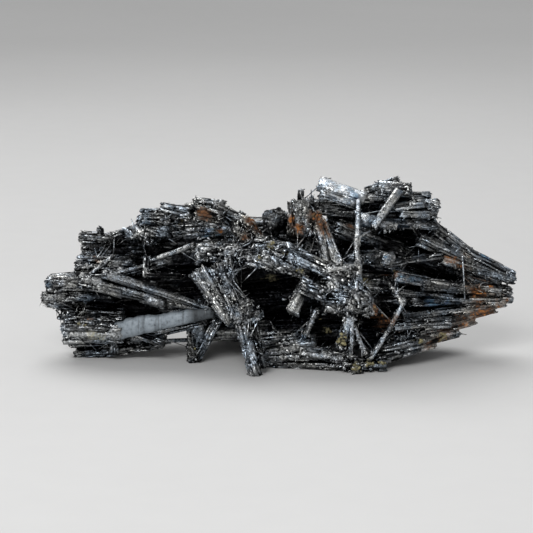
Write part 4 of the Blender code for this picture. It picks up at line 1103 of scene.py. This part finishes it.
def add_floor():
    """The sheet, just below the specimen."""
    half = 6.0
    mesh = bpy.data.meshes.new("floor")
    corners = [(-half, -half, 0), (half, -half, 0), (half, half, 0), (-half, half, 0)]
    mesh.from_pydata(corners, [], [(0, 1, 2, 3)])
    floor = link("floor", mesh)
    floor.location.z = -0.0001
    floor.data.materials.append(paper_material())


def turn_to(thing, direction, axis):
    """Turn one of an object's axes to a direction."""
    thing.rotation_mode = "QUATERNION"
    thing.rotation_quaternion = direction.to_track_quat(axis, "Y")


def add_area_light(name, at, towards, size, power):
    light = bpy.data.lights.new(name, "AREA")
    light.shape = "RECTANGLE"
    light.size, light.size_y = size
    light.energy = power
    lamp = link(name, light)
    lamp.location = at
    turn_to(lamp, Vector(towards) - Vector(at), "-Z")


def add_sun(elevation, azimuth, angle, power):
    """A soft sun. Azimuth 0 shines from behind the spray, 90 from its right."""
    light = bpy.data.lights.new("sky_light", "SUN")
    light.angle = math.radians(angle)
    light.energy = power
    up, turn = math.radians(elevation), math.radians(azimuth)
    level = math.cos(up)
    direction = Vector((math.sin(turn) * level, math.cos(turn) * level, math.sin(up)))
    turn_to(link("sky_light", light), direction, "Z")


def add_lights_and_world():
    add_sun(elevation=58, azimuth=-15, angle=45, power=1.45)
    add_area_light("front_box", (-0.3, -0.9, 0.8), (0, 0, 0.03), size=(0.8, 0.3), power=7.0)
    add_area_light("low_box", (-0.4, -0.6, 0.1), (-0.03, 0, 0), size=(0.4, 0.1), power=0.9)
    add_area_light("back_box", (-0.2, 0.45, 0.5), (-0.02, 0, 0), size=(0.5, 0.2), power=0.8)
    world = bpy.data.worlds.new("studio")
    world.use_nodes = True
    colour, strength = world.node_tree.nodes["Background"].inputs[:2]
    colour.default_value = (0.80, 0.80, 0.81, 1)
    strength.default_value = 0.38
    bpy.context.scene.world = world


def add_camera():
    camera = bpy.data.cameras.new("camera")
    camera.lens = 150.3
    camera.sensor_width = 36
    camera.clip_end = 20
    elevation, distance = math.radians(12), 0.7
    target = Vector((-3.77, 0, 28.75)) * MM
    back = Vector((0, -math.cos(elevation), math.sin(elevation)))
    eye = link("camera", camera)
    eye.location = target + back * distance
    turn_to(eye, -back, "-Z")
    bpy.context.scene.camera = eye


def carry(piece, material):
    """Let a piece move with the specimen and stand for its CAD solid."""
    piece.data.materials.append(material)
    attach(piece, "root")
    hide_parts("stibnite_spray")


def share_of(crystal):
    """The piece that a crystal belongs to."""
    middle = (crystal.root[0] + crystal.tip[0]) / 2
    if style_of(crystal.name) is SHADED_CORE:
        return "inner_crystals"
    if crystal.name.startswith("back"):
        return "blades_back"
    if middle < -SIDE:
        return "blades_left"
    return "blades_middle" if middle < SIDE else "blades_right"


def build_spray():
    """All pieces of the specimen."""
    low = np.array(cad_low) / MM + CLEARANCE
    high = np.array(cad_high) / MM - CLEARANCE
    low[2] = 0.0
    crystals = list(HAND_PLACED)
    for sheaf in SHEAVES:
        crystals += grow_sheaf(sheaf)
    parts = {name: Pile() for name in (
        "blades_left", "blades_middle", "blades_right", "blades_back", "inner_crystals",
        "cleaved_blade", "needles", "druse", "crust")}
    for crystal in crystals:
        if crystal.name == "bright_blade":
            add_cleavage(parts["cleaved_blade"], crystal)
        else:
            add_crystal(parts[share_of(crystal)], crystal)
    rng = np.random.default_rng(SEED)
    surface = Surface(bpy.data.objects["stibnite_spray"], rng)
    for root, tip, width in FINE_NEEDLES:
        add_needle(parts["needles"], rng, np.array(root, float), np.array(tip, float), width, 0.8)
    strew_needles(parts["needles"], surface, rng)
    bridge_needles(parts["needles"], surface, rng)
    strew_grains(parts["druse"], surface, rng)
    crust_nodules(parts["crust"], surface, rng)
    metal = stibnite_material()
    others = {"cleaved_blade": cleavage_material(), "crust": crust_material()}
    for name, pile in parts.items():
        carry(pile.build(name, low, high), others.get(name, metal))


bpy.context.scene.view_settings.view_transform = "Standard"
build_spray()
add_floor()
add_lights_and_world()
add_camera()
